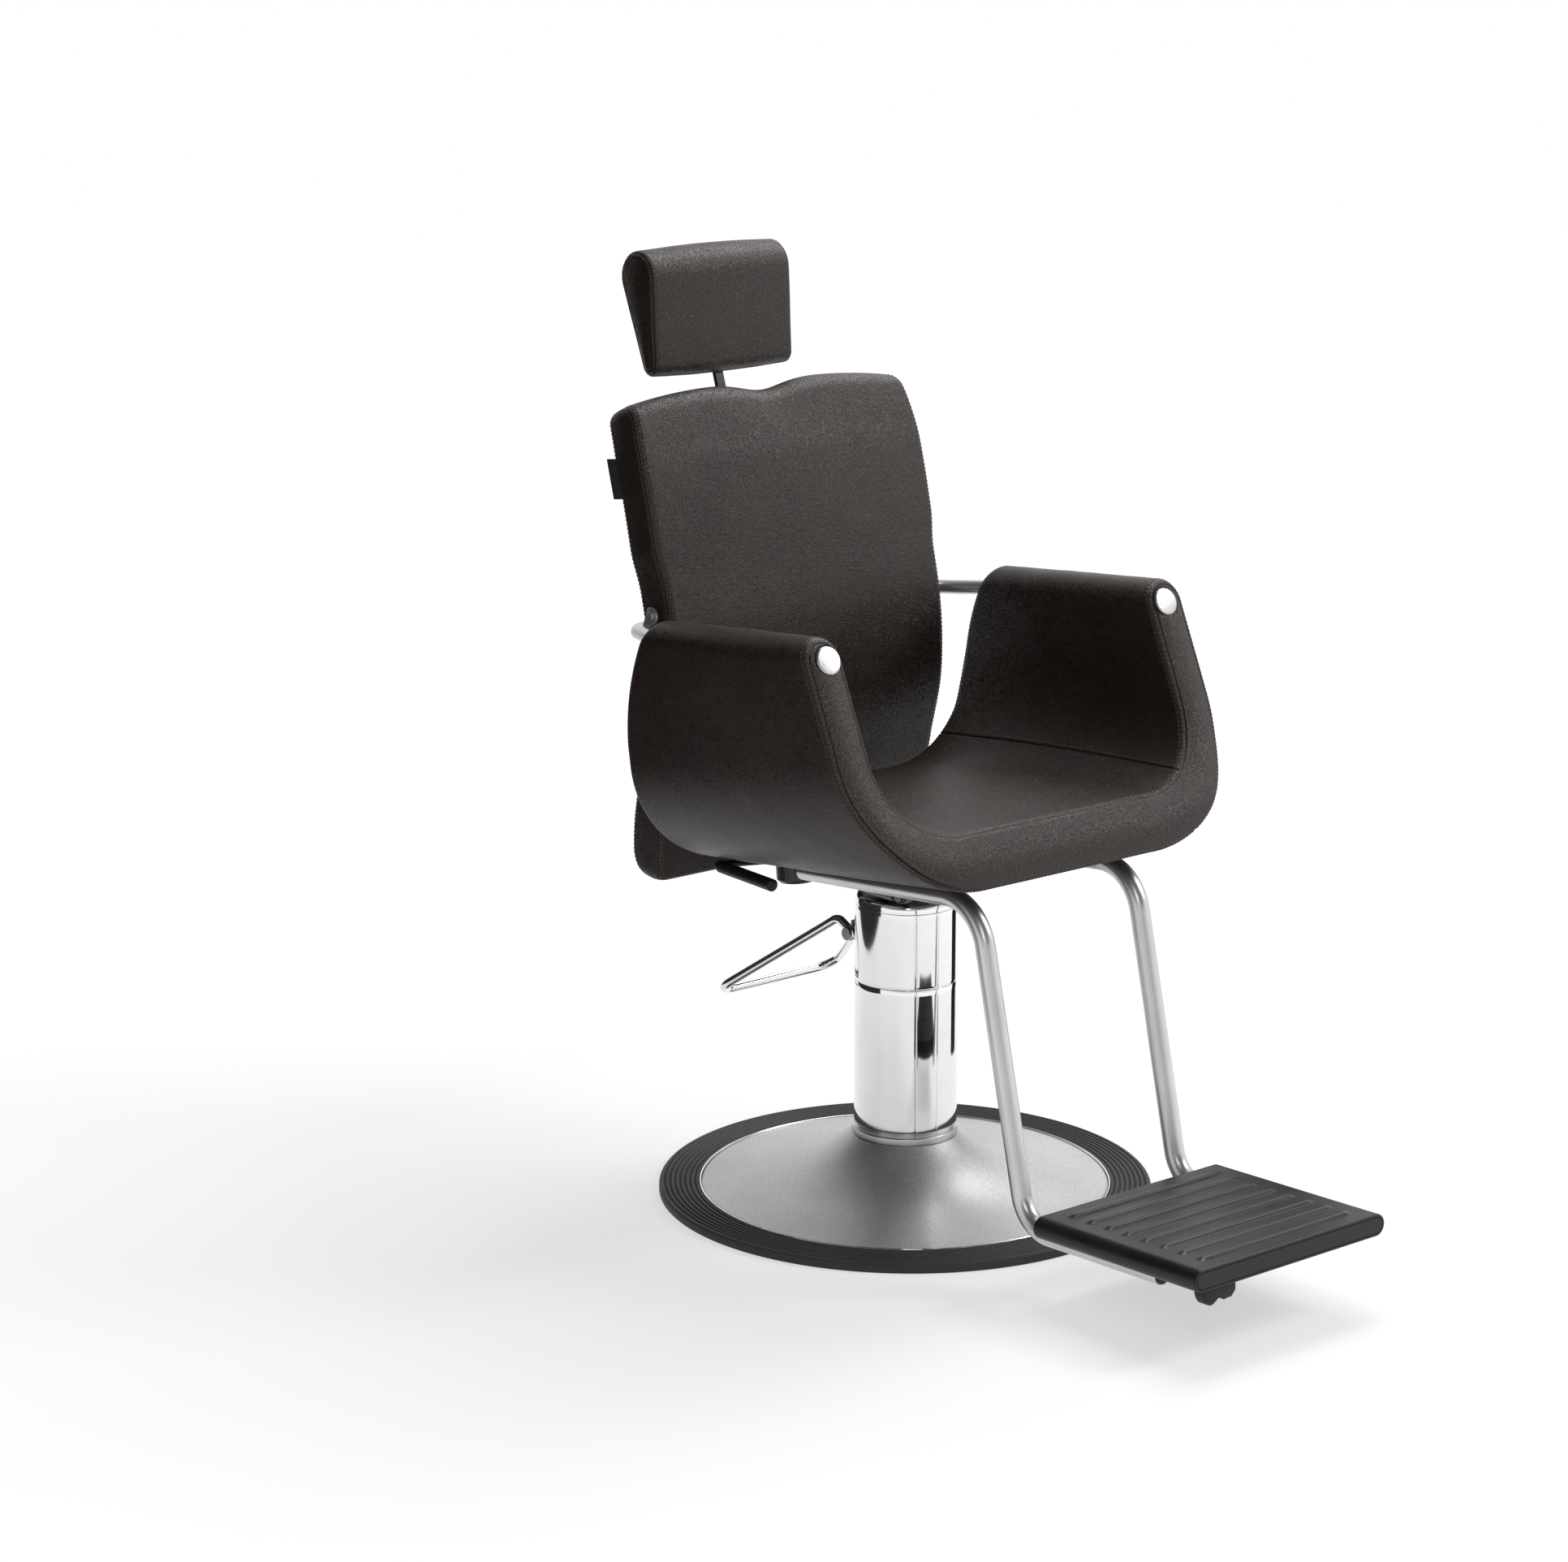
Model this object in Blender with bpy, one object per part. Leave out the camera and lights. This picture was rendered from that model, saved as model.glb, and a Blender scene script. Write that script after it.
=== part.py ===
"""Hydraulic barber chair: round floor base, chrome pump column, upholstered seat tub with
arms, reclining back, height-adjustable headrest and tubular footrest.

Metres, +Z up.  The origin is on the floor, on the axis of the column.  The chair faces -Y and
the sitter's left is +X.  The seat stands at its lowest, the back upright.
"""
import bmesh
import bpy
import numpy as np
from math import acos, atan2, ceil, cos, hypot, pi, radians, sin, sqrt, tan
from mathutils import Matrix, Vector

# ---------------------------------------------------------------- driving dimensions
GAP = 0.0003                     # clearance between faces that touch
FINE = 40                        # facets round the base
MEDIUM = 32                      # facets round the column
COARSE = 12                      # facets round pins, rods and small turned pieces

# base
RING_R = 0.300                   # rubber ring, outer radius
RING_W = 0.049
RING_H = 0.0115
RING_GROOVES = 7
GROOVE_D = 0.0013
TRIM_W = 0.0020                  # bright ring between cover and rubber
FLOOR_PLATE_T = 0.006
SHEET = 0.0020                   # pressed cover
COVER_EDGE_Z = 0.0105            # height of the cover at its rim
FOOT_Z = 0.0735                  # height of the cover at the column

# column
COLUMN_R = 0.0626
CASING_T = 0.0015
BAND_H = 0.0085                  # satin band under the casing
CASING_SEAM_Z = 0.268            # joint between lower and upper casing
CASING_TOP_Z = 0.362
COLLAR_R = 0.014                 # roll of the collar over the casing
COLLAR_MOUTH_R = 0.046
STRIP_ARC = 0.028                # closing strip of the casing, along its arc
STRIP_TURN = radians(-17.8)      # its place, from straight ahead

# pump and ram
RAM_R = 0.0225
RAM_STROKE = 0.160
RAM_GUIDE = 0.144                # length of ram left inside the cylinder at full height
CYLINDER_R = 0.034
CYLINDER_FLANGE_R = 0.055
CYLINDER_FLANGE_H = 0.012
CYLINDER_TOP_Z = 0.344
HEAD_R = 0.045
HEAD_H = 0.050
GLAND_H = 0.010
BOLT_R = 0.004

# pump lever
LEVER_AXIS_Y = 0.074
LEVER_AXIS_Z = 0.311
LEVER_ROD_R = 0.0058
LEVER_REACH = 0.1765             # axis to foot bar, along the floor
LEVER_DROP = 0.102               # axis to foot bar, downwards
LEVER_W = 0.200                  # width over the foot bar's centre line
LEVER_EYE_R = 0.0095
LEVER_EYE_L = 0.0135
SHAFT_R = 0.005
YOKE_W = 0.030
YOKE_H = 0.024                   # of the part outside the casing
YOKE_ROOT_H = 0.034
YOKE_ROOT_Y = 0.0585             # where its taller root ends, inside the casing
FINGER_T = 0.012
FINGER_L = 0.024                 # shaft to plunger
FINGER_NOSE_R = 0.005
PLUNGER_R = 0.0055

# seat frame: everything above the ram leans back by this angle about the point where the
# column's axis meets the underside of the seat
SEAT_TILT = radians(5.0)
SEAT_Z = 0.434
SEAT_PLATE_T = 0.005
SEAT_PLATE_W = 0.266
SEAT_PLATE_FRONT = 0.160
SEAT_PLATE_REAR = 0.096
HUB_R = 0.032
HUB_FLANGE_R = 0.055
HUB_FLANGE_T = 0.006
HUB_FOOT_Z = 0.388
WASHER_T = 0.0025

# upholstered tub: seat and both arms in one
TUB_W = 0.590
ARM_T = 0.055
SEAT_T = 0.065
ARM_H = 0.297                    # underside of the seat to the top of the arm
TUB_OUTER_R_FRONT = 0.160        # corner from the side into the underside
TUB_OUTER_R_REAR = 0.125
TUB_INNER_R_FRONT = 0.090
TUB_INNER_R_REAR = 0.140
TUB_EDGE_R = 0.009
SEAT_CROWN = 0.010
ARM_FRONT_Y = 0.177              # front of the arm's top, ahead of the column
ARM_RAKE = 0.345                 # how far the front runs forward for each metre down
NOSE = 0.018                     # swell of the seat's front edge
TUB_REAR_Y = 0.151
TUB_WING = 0.005                 # how much further back the tub reaches beside the back's tail
TUB_REAR_TUCK = 0.011            # how far the rear draws in down to the underside
CAP_R = 0.0165
CAP_T = 0.0035
CAP_SET = 0.004                  # caps towards the seat from the middle of the arms

# arm bow, lugs and pivots
BOW_R = 0.009
BOW_REAR_Y = 0.2305
BOW_KNEE_Y = 0.100               # where each leg starts to turn in
BOW_BEND_R = 0.035
PIVOT_Y = 0.2114
PIVOT_RISE = 0.020687            # above the middle of the arms, in the seat frame
LUG_R = 0.0105
LUG_T = 0.0035
LUG_REACH = 0.021                # from the pivot back to where the lug meets the bow
PIVOT_SCREW_R = 0.0038
PIVOT_HEAD_R = 0.0058

# back
BACK_CLEAR = 0.025               # between each side and the arm beside it
BACK_FOOT_Z = 0.3788             # lowest point of the tail
BACK_SPREAD = 0.0055             # each side stands further out above the arms
BACK_TOP_NARROW = 0.0095         # each side draws in towards the top
BACK_T = 0.056
BACK_EDGE_R = 0.010
BACK_CROWN = 0.006
BACK_TAIL_R = 0.034
BACK_TOP_R = 0.023
BACK_ARCH = 0.013                # rise of the top edge between its corners
BACK_DIP = 0.012                 # shallow hollow in the middle of the arch
# front face of the back in side view: distance ahead of (-) or behind (+) the pivot, against
# the height above its foot for the tail, and above the pivot for the rest
TAIL_LINE = ((0.0, -0.0040), (0.060, -0.0050), (0.123, -0.0180))
BACK_LINE = (
    (-0.120, -0.0370),
    (-0.030, -0.0340),
    (0.060, -0.0140),
    (0.150, 0.0080),
    (0.205, 0.0270),
    (0.250, 0.0490),
)

# headrest
HEAD_PAD_W = 0.220
HEAD_PAD_TOP_R = 0.032
HEAD_PAD_FOOT_R = 0.0140
HEAD_PAD_RISE = 0.1045           # between the two round edges
HEAD_PAD_SET = 0.023             # top edge behind the foot edge
HEAD_PAD_REACH = 0.1461          # centre of the foot edge, behind the pivot
HEAD_PAD_UP = 0.2727             # and above it
HEAD_BAR_SET = 0.007             # bar behind the middle of the foot edge
HEAD_BAR_W = 0.012
HEAD_BAR_T = 0.006
HEAD_BAR_LEAN = radians(18.4)
HEAD_BAR_INSET = 0.060           # length held inside the pad
HEAD_BAR_TAIL = 0.205            # length below the pad's foot edge
HEAD_NOTCHES = 8
HEAD_NOTCH_PITCH = 0.012
GUIDE_L = 0.060
GUIDE_DROP = 0.070               # pad's foot edge to the top of the guide
GUIDE_WALL = 0.003
GUIDE_PLATE_W = 0.056
GUIDE_PLATE_H = 0.096

# footrest
TUBE_R = 0.0119
TUBE_WALL = 0.0020
TUBE_X = 0.1221
TUBE_REAR_Y = 0.049
TUBE_KNEE_R = 0.062              # upper bend
TUBE_HEEL_R = 0.047              # lower bend, which ends just behind the footrest plate
TUBE_NEST = 0.0095               # how deep the tubes lie in the plate's grooves
TUBE_SHIN_LEAN = radians(13.3)   # of the straight between the bends, from upright
TUBE_FRONT_Y = 0.565
TUBE_SIDES = 12
FOOT_PLATE_W = 0.3012
FOOT_PLATE_L = 0.2554
FOOT_PLATE_T = 0.026
FOOT_PLATE_Y = 0.5151            # its middle, ahead of the column
FOOT_PLATE_Z = 0.1065            # its top face, at the middle
FOOT_PLATE_PITCH = radians(2.0)
FOOT_RIBS = 8
FOOT_RIB_PITCH = 0.0287
FOOT_RIB_W = 0.009
FOOT_RIB_H = 0.0018
FOOT_RIB_L = 0.244
BUMPER_X = 0.1085                # its middle, to the sitter's right
BUMPER_L = 0.016
# side outline of the bumper's two lobes: across from its middle, below the plate
BUMPER_LOBES = (
    (-0.0255, 0.0000), (-0.0240, 0.0090), (-0.0200, 0.0160), (-0.0150, 0.0190),
    (-0.0100, 0.0180), (-0.0065, 0.0140), (-0.0035, 0.0118), (0.0010, 0.0118),
    (0.0035, 0.0148), (0.0070, 0.0170), (0.0110, 0.0165), (0.0145, 0.0162),
    (0.0190, 0.0160), (0.0225, 0.0125), (0.0255, 0.0090), (0.0255, 0.0000),
)
STUD_R = 0.003                   # studs that hold the tubes
STUD_L = 0.009
STUD_Y = (-0.130, 0.020)
SEAT_SCREW_X = 0.072
SEAT_SCREW_Y = (-0.135, 0.078)
SCREW_R = 0.0025
SCREW_HEAD_R = 0.0050

# gas spring that holds the back
SPRING_X = -0.070
SPRING_REAR_Y = 0.178            # eye on the back
SPRING_REAR_Z = 0.398
SPRING_FRONT_Y = -0.075          # eye under the seat
SPRING_FRONT_Z = 0.397
SPRING_R = 0.010
SPRING_ROD_R = 0.0045
SPRING_BODY_L = 0.150
SPRING_EYE_R = 0.009
SPRING_EYE_W = 0.012
SPRING_PIN_R = 0.004
SPRING_SLACK = 0.0022            # play of the rear pin in its eye
SPRING_STROKE = 0.066
CHEEK_T = 0.003
CHEEK_R = 0.008
BRACKET_H = 0.030

# recline release
RELEASE_X = -0.100
RELEASE_DROP = 0.012             # shaft below the seat plate
RELEASE_ROD_R = 0.0045
GRIP_R = 0.0075
GRIP_L = 0.106
GRIP_X = -0.197
GRIP_REAR_Y = 0.113
GRIP_TOE = 0.007                 # front end further out than the rear end
HOUSING_X = -0.110               # round housing that the release lever turns in
HOUSING_Y = 0.0775
HOUSING_R = 0.0245
HOUSING_H = 0.031
FLANGE_Y = 0.0525                # rear face of the collar on the release lever

# ---------------------------------------------------------------- derived places
TRIM_OUT_R = RING_R - RING_W - GAP
COVER_R = TRIM_OUT_R - TRIM_W - GAP
FLOOR_PLATE_R = COVER_R - SHEET - GAP
BAND_Z = FOOT_Z + GAP
CASING_Z = BAND_Z + BAND_H + GAP
CASING_IN_R = COLUMN_R - CASING_T
FOOT_HOLE_R = COLUMN_R - 0.006
FLANGE_Z = FLOOR_PLATE_T + GAP
HEAD_Z = CYLINDER_TOP_Z - HEAD_H
RAM_FOOT_Z = CYLINDER_TOP_Z - RAM_STROKE - RAM_GUIDE
RAM_TOP_Z = HUB_FOOT_Z + 0.026
PLATE_UNDER = -(GAP + SEAT_PLATE_T)          # seat plate's lower face, in the seat frame
TUBE_DROP = PLATE_UNDER - GAP - TUBE_R       # footrest tubes' axes, in the seat frame
ARM_X = (TUB_W - ARM_T) / 2
ARM_AXIS_H = ARM_H - ARM_T / 2
PIVOT_Z = SEAT_Z + (ARM_AXIS_H + PIVOT_RISE - PIVOT_Y * sin(SEAT_TILT)) / cos(SEAT_TILT)
BACK_W = TUB_W - 2 * (ARM_T + BACK_CLEAR)
BACK_HALF = BACK_W / 2
BOW_CORNER_X = BACK_HALF                     # corners of the bow, behind the back's sides
FRONT_LINE = tuple((BACK_FOOT_Z - PIVOT_Z + rise, y) for rise, y in TAIL_LINE) + BACK_LINE
HEAD_PAD_Y = PIVOT_Y + HEAD_PAD_REACH
HEAD_PAD_Z = PIVOT_Z + HEAD_PAD_UP
LUG_X = BACK_HALF + 0.0028                   # inner face of each lug
CHEEK_HALF = SPRING_EYE_W / 2 + GAP          # inner face of each clevis cheek


def seat_frame(y, z):
    """The seat frame's (y, z) of a point given in the chair's frame."""
    dz = z - SEAT_Z
    return y * cos(SEAT_TILT) - dz * sin(SEAT_TILT), y * sin(SEAT_TILT) + dz * cos(SEAT_TILT)


# the scene starts empty
for old in list(bpy.data.objects):
    bpy.data.objects.remove(old)


# ---------------------------------------------------------------- materials
def material(name, color, roughness, metallic=0.0):
    mat = bpy.data.materials.new(name)
    mat.use_nodes = True
    shader = mat.node_tree.nodes["Principled BSDF"]
    shader.inputs["Base Color"].default_value = (*color, 1.0)
    shader.inputs["Roughness"].default_value = roughness
    shader.inputs["Metallic"].default_value = metallic
    mat.diffuse_color = (*color, 1.0)
    return mat


# ---------------------------------------------------------------- building helpers
def empty(name, location, tilt=0.0, parent=None):
    frame = bpy.data.objects.new(name, None)
    frame.location = location
    frame.rotation_euler = (tilt, 0.0, 0.0)
    frame.parent = parent
    bpy.context.collection.objects.link(frame)
    return frame


def add(name, mesh, mat, parent, place=(0.0, 0.0, 0.0), turn=(0.0, 0.0, 0.0), smooth=35.0):
    mesh.name = name
    mesh.shade_smooth()
    mesh.set_sharp_from_angle(angle=radians(smooth))
    mesh.materials.append(mat)
    obj = bpy.data.objects.new(name, mesh)
    obj.location = place
    obj.rotation_euler = turn
    obj.parent = parent
    bpy.context.collection.objects.link(obj)
    return obj


def mesh_of(points, faces):
    """A closed mesh with its faces pointing out."""
    mesh = bpy.data.meshes.new("mesh")
    mesh.from_pydata([tuple(p) for p in points], [], faces)
    work = bmesh.new()
    work.from_mesh(mesh)
    bmesh.ops.recalc_face_normals(work, faces=work.faces)
    work.to_mesh(mesh)
    work.free()
    return mesh


def joined(meshes):
    """Several closed meshes in one, still separate bodies."""
    work = bmesh.new()
    for mesh in meshes:
        work.from_mesh(mesh)
    mesh = bpy.data.meshes.new("mesh")
    work.to_mesh(mesh)
    work.free()
    return mesh


def moved(mesh, matrix):
    mesh.transform(matrix)
    if matrix.determinant() < 0:
        mesh.flip_normals()
    return mesh


def mirrored_pair(make):
    """The mesh that make() gives at +X, and its mirror image at -X."""
    return joined([make(), moved(make(), Matrix.Scale(-1.0, 4, Vector((1, 0, 0))))])


def loft(rings, closed_ends=True):
    """A skin through rings of equally many points, with an end face on each end."""
    count = len(rings[0])
    points = [p for ring in rings for p in ring]
    faces = []
    for k in range(len(rings) - 1):
        for i in range(count):
            j = (i + 1) % count
            faces.append((k * count + i, k * count + j, (k + 1) * count + j, (k + 1) * count + i))
    if closed_ends:
        faces.append(tuple(range(count)))
        faces.append(tuple((len(rings) - 1) * count + i for i in range(count)))
    else:
        last = (len(rings) - 1) * count
        for i in range(count):
            j = (i + 1) % count
            faces.append((last + i, last + j, j, i))
    return mesh_of(points, faces)


def turned(profile, facets=FINE, start=0.0, sweep=2 * pi):
    """A closed (radius, height) profile turned about Z, all round or over part of a turn."""
    whole = sweep > 2 * pi - 1e-6
    steps = facets if whole else max(2, ceil(facets * sweep / (2 * pi)))
    rings = []
    for k in range(steps if whole else steps + 1):
        a = start + sweep * k / steps
        rings.append([(r * cos(a), r * sin(a), z) for r, z in profile])
    return loft(rings, closed_ends=not whole)


def solid_turned(profile, facets=COARSE):
    """A (radius, height) profile, listed upwards, turned into a solid with end faces."""
    rings = []
    for r, z in profile:
        rings.append([(r * cos(2 * pi * k / facets), r * sin(2 * pi * k / facets), z)
                      for k in range(facets)])
    return loft(rings)


def washer(r_in, r_out, low, high, facets=COARSE):
    return turned([(r_in, low), (r_out, low), (r_out, high), (r_in, high)], facets)


def along(axis):
    """Rotation that turns +Z onto the given direction."""
    return Vector((0, 0, 1)).rotation_difference(Vector(axis)).to_matrix().to_4x4()


def rod(start, end, radius, facets=COARSE):
    start, end = Vector(start), Vector(end)
    mesh = solid_turned([(radius, 0.0), (radius, (end - start).length)], facets)
    return moved(mesh, Matrix.Translation(start) @ along(end - start))


def block(x, y, z, edge=0.0, steps=2):
    """A box between the given limits, with rounded edges."""
    work = bmesh.new()
    bmesh.ops.create_cube(work, size=1.0)
    size = Vector((x[1] - x[0], y[1] - y[0], z[1] - z[0]))
    middle = Vector(((x[1] + x[0]) / 2, (y[1] + y[0]) / 2, (z[1] + z[0]) / 2))
    for v in work.verts:
        v.co = Vector((v.co.x * size.x, v.co.y * size.y, v.co.z * size.z)) + middle
    if edge:
        bmesh.ops.bevel(work, geom=work.edges[:], offset=edge, segments=steps, affect="EDGES",
                        profile=0.5)
    mesh = bpy.data.meshes.new("mesh")
    work.to_mesh(mesh)
    work.free()
    return mesh


def slab(outline, low, high):
    """An outline of (y, z) points extruded along X."""
    return loft([[(low, y, z) for y, z in outline], [(high, y, z) for y, z in outline]])


def rounded_route(corners, radii, step=radians(12)):
    """A route through the corners, each inner one replaced by an arc of its radius."""
    corners = [Vector(c) for c in corners]
    route = [corners[0]]
    for before, corner, after, radius in zip(corners, corners[1:], corners[2:], radii):
        a, b = (before - corner).normalized(), (after - corner).normalized()
        half = acos(max(-1.0, min(1.0, a.dot(b)))) / 2
        centre = corner + (a + b).normalized() * radius / sin(half)
        first = corner + a * radius / tan(half) - centre
        turn = pi - 2 * half
        axis = a.cross(first).normalized()
        steps = max(2, ceil(turn / step))
        for k in range(steps + 1):
            route.append(centre + Matrix.Rotation(turn * k / steps, 3, axis) @ first)
    route.append(corners[-1])
    return route


def frames_along(route):
    """Position, side and up vectors at each point, without twist."""
    frames = []
    tangent = (route[1] - route[0]).normalized()
    side = tangent.orthogonal().normalized()
    for k, point in enumerate(route):
        ahead = route[min(k + 1, len(route) - 1)] - route[max(k - 1, 0)]
        ahead.normalize()
        side = (side - ahead * side.dot(ahead)).normalized()
        frames.append((point, side, ahead.cross(side)))
    return frames


def tube(route, radius, wall=0.0, facets=12):
    """A round bar along the route, or an open tube where it has a wall."""
    rings = []
    for r in (radius, radius - wall) if wall else (radius,):
        rings.append([[p + (s * cos(2 * pi * i / facets) + u * sin(2 * pi * i / facets)) * r
                       for i in range(facets)] for p, s, u in frames_along(route)])
    if not wall:
        return loft(rings[0])
    return loft(rings[0] + rings[1][::-1], closed_ends=False)


def cutter(name, mesh, parent, place=(0.0, 0.0, 0.0), turn=(0.0, 0.0, 0.0)):
    obj = bpy.data.objects.new(name, mesh)
    obj.location = place
    obj.rotation_euler = turn
    obj.parent = parent
    obj.hide_render = True
    obj.display_type = "WIRE"
    bpy.context.collection.objects.link(obj)
    return obj


def boolean(target, tool, operation="DIFFERENCE"):
    modifier = target.modifiers.new(tool.name, "BOOLEAN")
    modifier.operation = operation
    modifier.solver = "EXACT"
    modifier.object = tool


def cut(target, name, mesh, place=(0.0, 0.0, 0.0), turn=(0.0, 0.0, 0.0)):
    boolean(target, cutter(name, mesh, target.parent, place, turn))


def weld(target, name, mesh):
    boolean(target, cutter(name, mesh, target.parent), "UNION")


def smooth_line(knots, count):
    """Points spaced along a smooth curve through the knots."""
    knots = np.array(knots, dtype=float)
    padded = np.vstack([2 * knots[0] - knots[1], knots, 2 * knots[-1] - knots[-2]])
    points = []
    for t in np.linspace(0, len(knots) - 1, count):
        k = min(int(t), len(knots) - 2)
        f = t - k
        p0, p1, p2, p3 = padded[k:k + 4]
        points.append(0.5 * (2 * p1 + (p2 - p0) * f + (2 * p0 - 5 * p1 + 4 * p2 - p3) * f ** 2
                             + (3 * p1 - 3 * p2 + p3 - p0) * f ** 3))
    return np.array(points)


# ---------------------------------------------------------------- base
def floor_plate(mat, parent):
    mesh = solid_turned([(FLOOR_PLATE_R, 0.0), (FLOOR_PLATE_R, FLOOR_PLATE_T)], FINE)
    plate = add("floor_plate", mesh, mat, parent)
    cut(plate, "floor_plate_bolt_holes", ring_of_rods(BOLT_R + GAP, 0.002, 2 * FLOOR_PLATE_T))
    return plate


def ring_of_rods(radius, low, high):
    pcd_r = (CYLINDER_R + CYLINDER_FLANGE_R) / 2
    rods = []
    for k in range(4):
        a = pi / 4 + k * pi / 2
        x, y = pcd_r * cos(a), pcd_r * sin(a)
        rods.append(rod((x, y, low), (x, y, high), radius, 8))
    return joined(rods)


def cover_height(r):
    """Outer face of the pressed cover: a shallow cone that flares up to the column."""
    share = (COVER_R - r) / (COVER_R - COLUMN_R - 0.004)
    return COVER_EDGE_Z + (FOOT_Z - COVER_EDGE_Z) * (0.42 * share + 0.58 * share ** 4)


def base_cover(mat, parent):
    top_r = COLUMN_R + 0.004
    radii = np.linspace(COVER_R - 0.003, top_r, 8)
    outer = [(COVER_R, SHEET / 2), (COVER_R, COVER_EDGE_Z - 0.003)]
    outer += [(r, cover_height(r)) for r in radii]
    outer += [(FOOT_HOLE_R, FOOT_Z)]
    inner = [(FOOT_HOLE_R, FOOT_Z - SHEET), (top_r - SHEET, FOOT_Z - SHEET)]
    inner += [(r - SHEET / 2, cover_height(r) - 1.2 * SHEET) for r in radii[::-2][1:]]
    inner += [(COVER_R - SHEET, COVER_EDGE_Z - 0.003 - SHEET / 2), (COVER_R - SHEET, SHEET / 2)]
    return add("base_cover", turned(outer + inner), mat, parent)


def base_trim(mat, parent):
    high = RING_H + 0.0006
    mesh = turned([(TRIM_OUT_R - TRIM_W, 0.0005), (TRIM_OUT_R, 0.0005), (TRIM_OUT_R, high - 0.0006),
                   (TRIM_OUT_R - TRIM_W / 2, high)])
    return add("trim_ring", mesh, mat, parent)


def rubber_ring(mat, parent):
    """Ring with concentric grooves in its top face and a rounded outer lip."""
    inner_r = RING_R - RING_W
    pitch = (RING_W - 0.006) / RING_GROOVES
    profile = [(inner_r, 0.0), (RING_R, 0.0), (RING_R, RING_H - 0.004),
               (RING_R - 0.0015, RING_H - 0.0012)]
    for k in range(RING_GROOVES):
        land = RING_R - 0.004 - k * pitch
        profile += [(land, RING_H), (land - pitch / 2, RING_H - GROOVE_D)]
    profile += [(inner_r + 0.001, RING_H), (inner_r, RING_H - 0.001)]
    return add("rubber_ring", turned(profile), mat, parent, smooth=20)


def foot_band(mat, parent):
    mesh = turned([(FOOT_HOLE_R, BAND_Z), (COLUMN_R + 0.001, BAND_Z),
                   (COLUMN_R + 0.001, BAND_Z + BAND_H - 0.001), (COLUMN_R, BAND_Z + BAND_H),
                   (FOOT_HOLE_R, BAND_Z + BAND_H)], MEDIUM)
    return add("foot_band", mesh, mat, parent)


# ---------------------------------------------------------------- column
def casing(name, low, high, mat, parent):
    """Chrome sheet rolled into a tube that stays open over the width of the closing strip."""
    half = STRIP_ARC / COLUMN_R / 2
    start = -pi / 2 + STRIP_TURN + half
    profile = [(CASING_IN_R, low), (COLUMN_R, low), (COLUMN_R, high), (CASING_IN_R, high)]
    return add(name, turned(profile, MEDIUM, start, 2 * pi - 2 * half), mat, parent)


def casing_strip(name, low, high, mat, parent):
    half = STRIP_ARC / COLUMN_R / 2 - GAP / COLUMN_R
    start = -pi / 2 + STRIP_TURN - half
    profile = [(CASING_IN_R, low), (COLUMN_R + 0.0004, low), (COLUMN_R + 0.0004, high),
               (CASING_IN_R, high)]
    return add(name, turned(profile, 2 * MEDIUM, start, 2 * half), mat, parent)


def collar(mat, parent):
    """Rolled collar: a spigot inside the casing, a quarter roll and a turned-in mouth."""
    spigot_r = CASING_IN_R - GAP
    low = CASING_TOP_Z + GAP
    outer = [(COLUMN_R, low)]
    inner = []
    for k in range(5):
        a = pi / 2 * k / 4
        r = COLUMN_R - COLLAR_R * (1 - cos(a))
        outer.append((r, low + 0.003 + COLLAR_R * sin(a)))
        if k % 2 == 0:
            inner.append((r - CASING_T * cos(a), low + 0.003 + (COLLAR_R - CASING_T) * sin(a)))
    mouth = [(COLLAR_MOUTH_R, outer[-1][1]), (COLLAR_MOUTH_R, outer[-1][1] - CASING_T)]
    spigot = [(spigot_r - CASING_T, low), (spigot_r - CASING_T, low - 0.010),
              (spigot_r, low - 0.010), (spigot_r, low)]
    return add("casing_collar", turned(outer + mouth + inner[::-1] + spigot, MEDIUM), mat,
               parent)


def screw(head_r, head_h, shank_r, shank_l):
    """A hexagon screw along Z: its head stands on z = 0 and its shank hangs below."""
    return solid_turned([(shank_r, -shank_l), (shank_r, 0.0), (head_r, 0.0), (head_r, head_h)],
                        6)


def pump_cylinder(mat, parent):
    bore = RAM_R + 0.004
    floor = FLANGE_Z + 0.012
    profile = [(0.0015, floor), (0.0015, FLANGE_Z), (CYLINDER_FLANGE_R, FLANGE_Z),
               (CYLINDER_FLANGE_R, FLANGE_Z + CYLINDER_FLANGE_H),
               (CYLINDER_R, FLANGE_Z + CYLINDER_FLANGE_H), (CYLINDER_R, CYLINDER_TOP_Z),
               (bore, CYLINDER_TOP_Z), (bore, floor)]
    cylinder = add("pump_cylinder", turned(profile, 24), mat, parent)
    weld(cylinder, "flange_bolts", flange_bolts())
    return cylinder


def flange_bolts():
    """Four bolts that hold the cylinder to the floor plate."""
    low = FLANGE_Z + CYLINDER_FLANGE_H - GAP
    pcd_r = (CYLINDER_R + CYLINDER_FLANGE_R) / 2
    bolts = []
    for k in range(4):
        a = pi / 4 + k * pi / 2
        bolt = screw(1.7 * BOLT_R, 1.4 * BOLT_R, BOLT_R, low - 0.003)
        bolts.append(moved(bolt, Matrix.Translation((pcd_r * cos(a), pcd_r * sin(a), low))))
    return joined(bolts)


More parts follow.
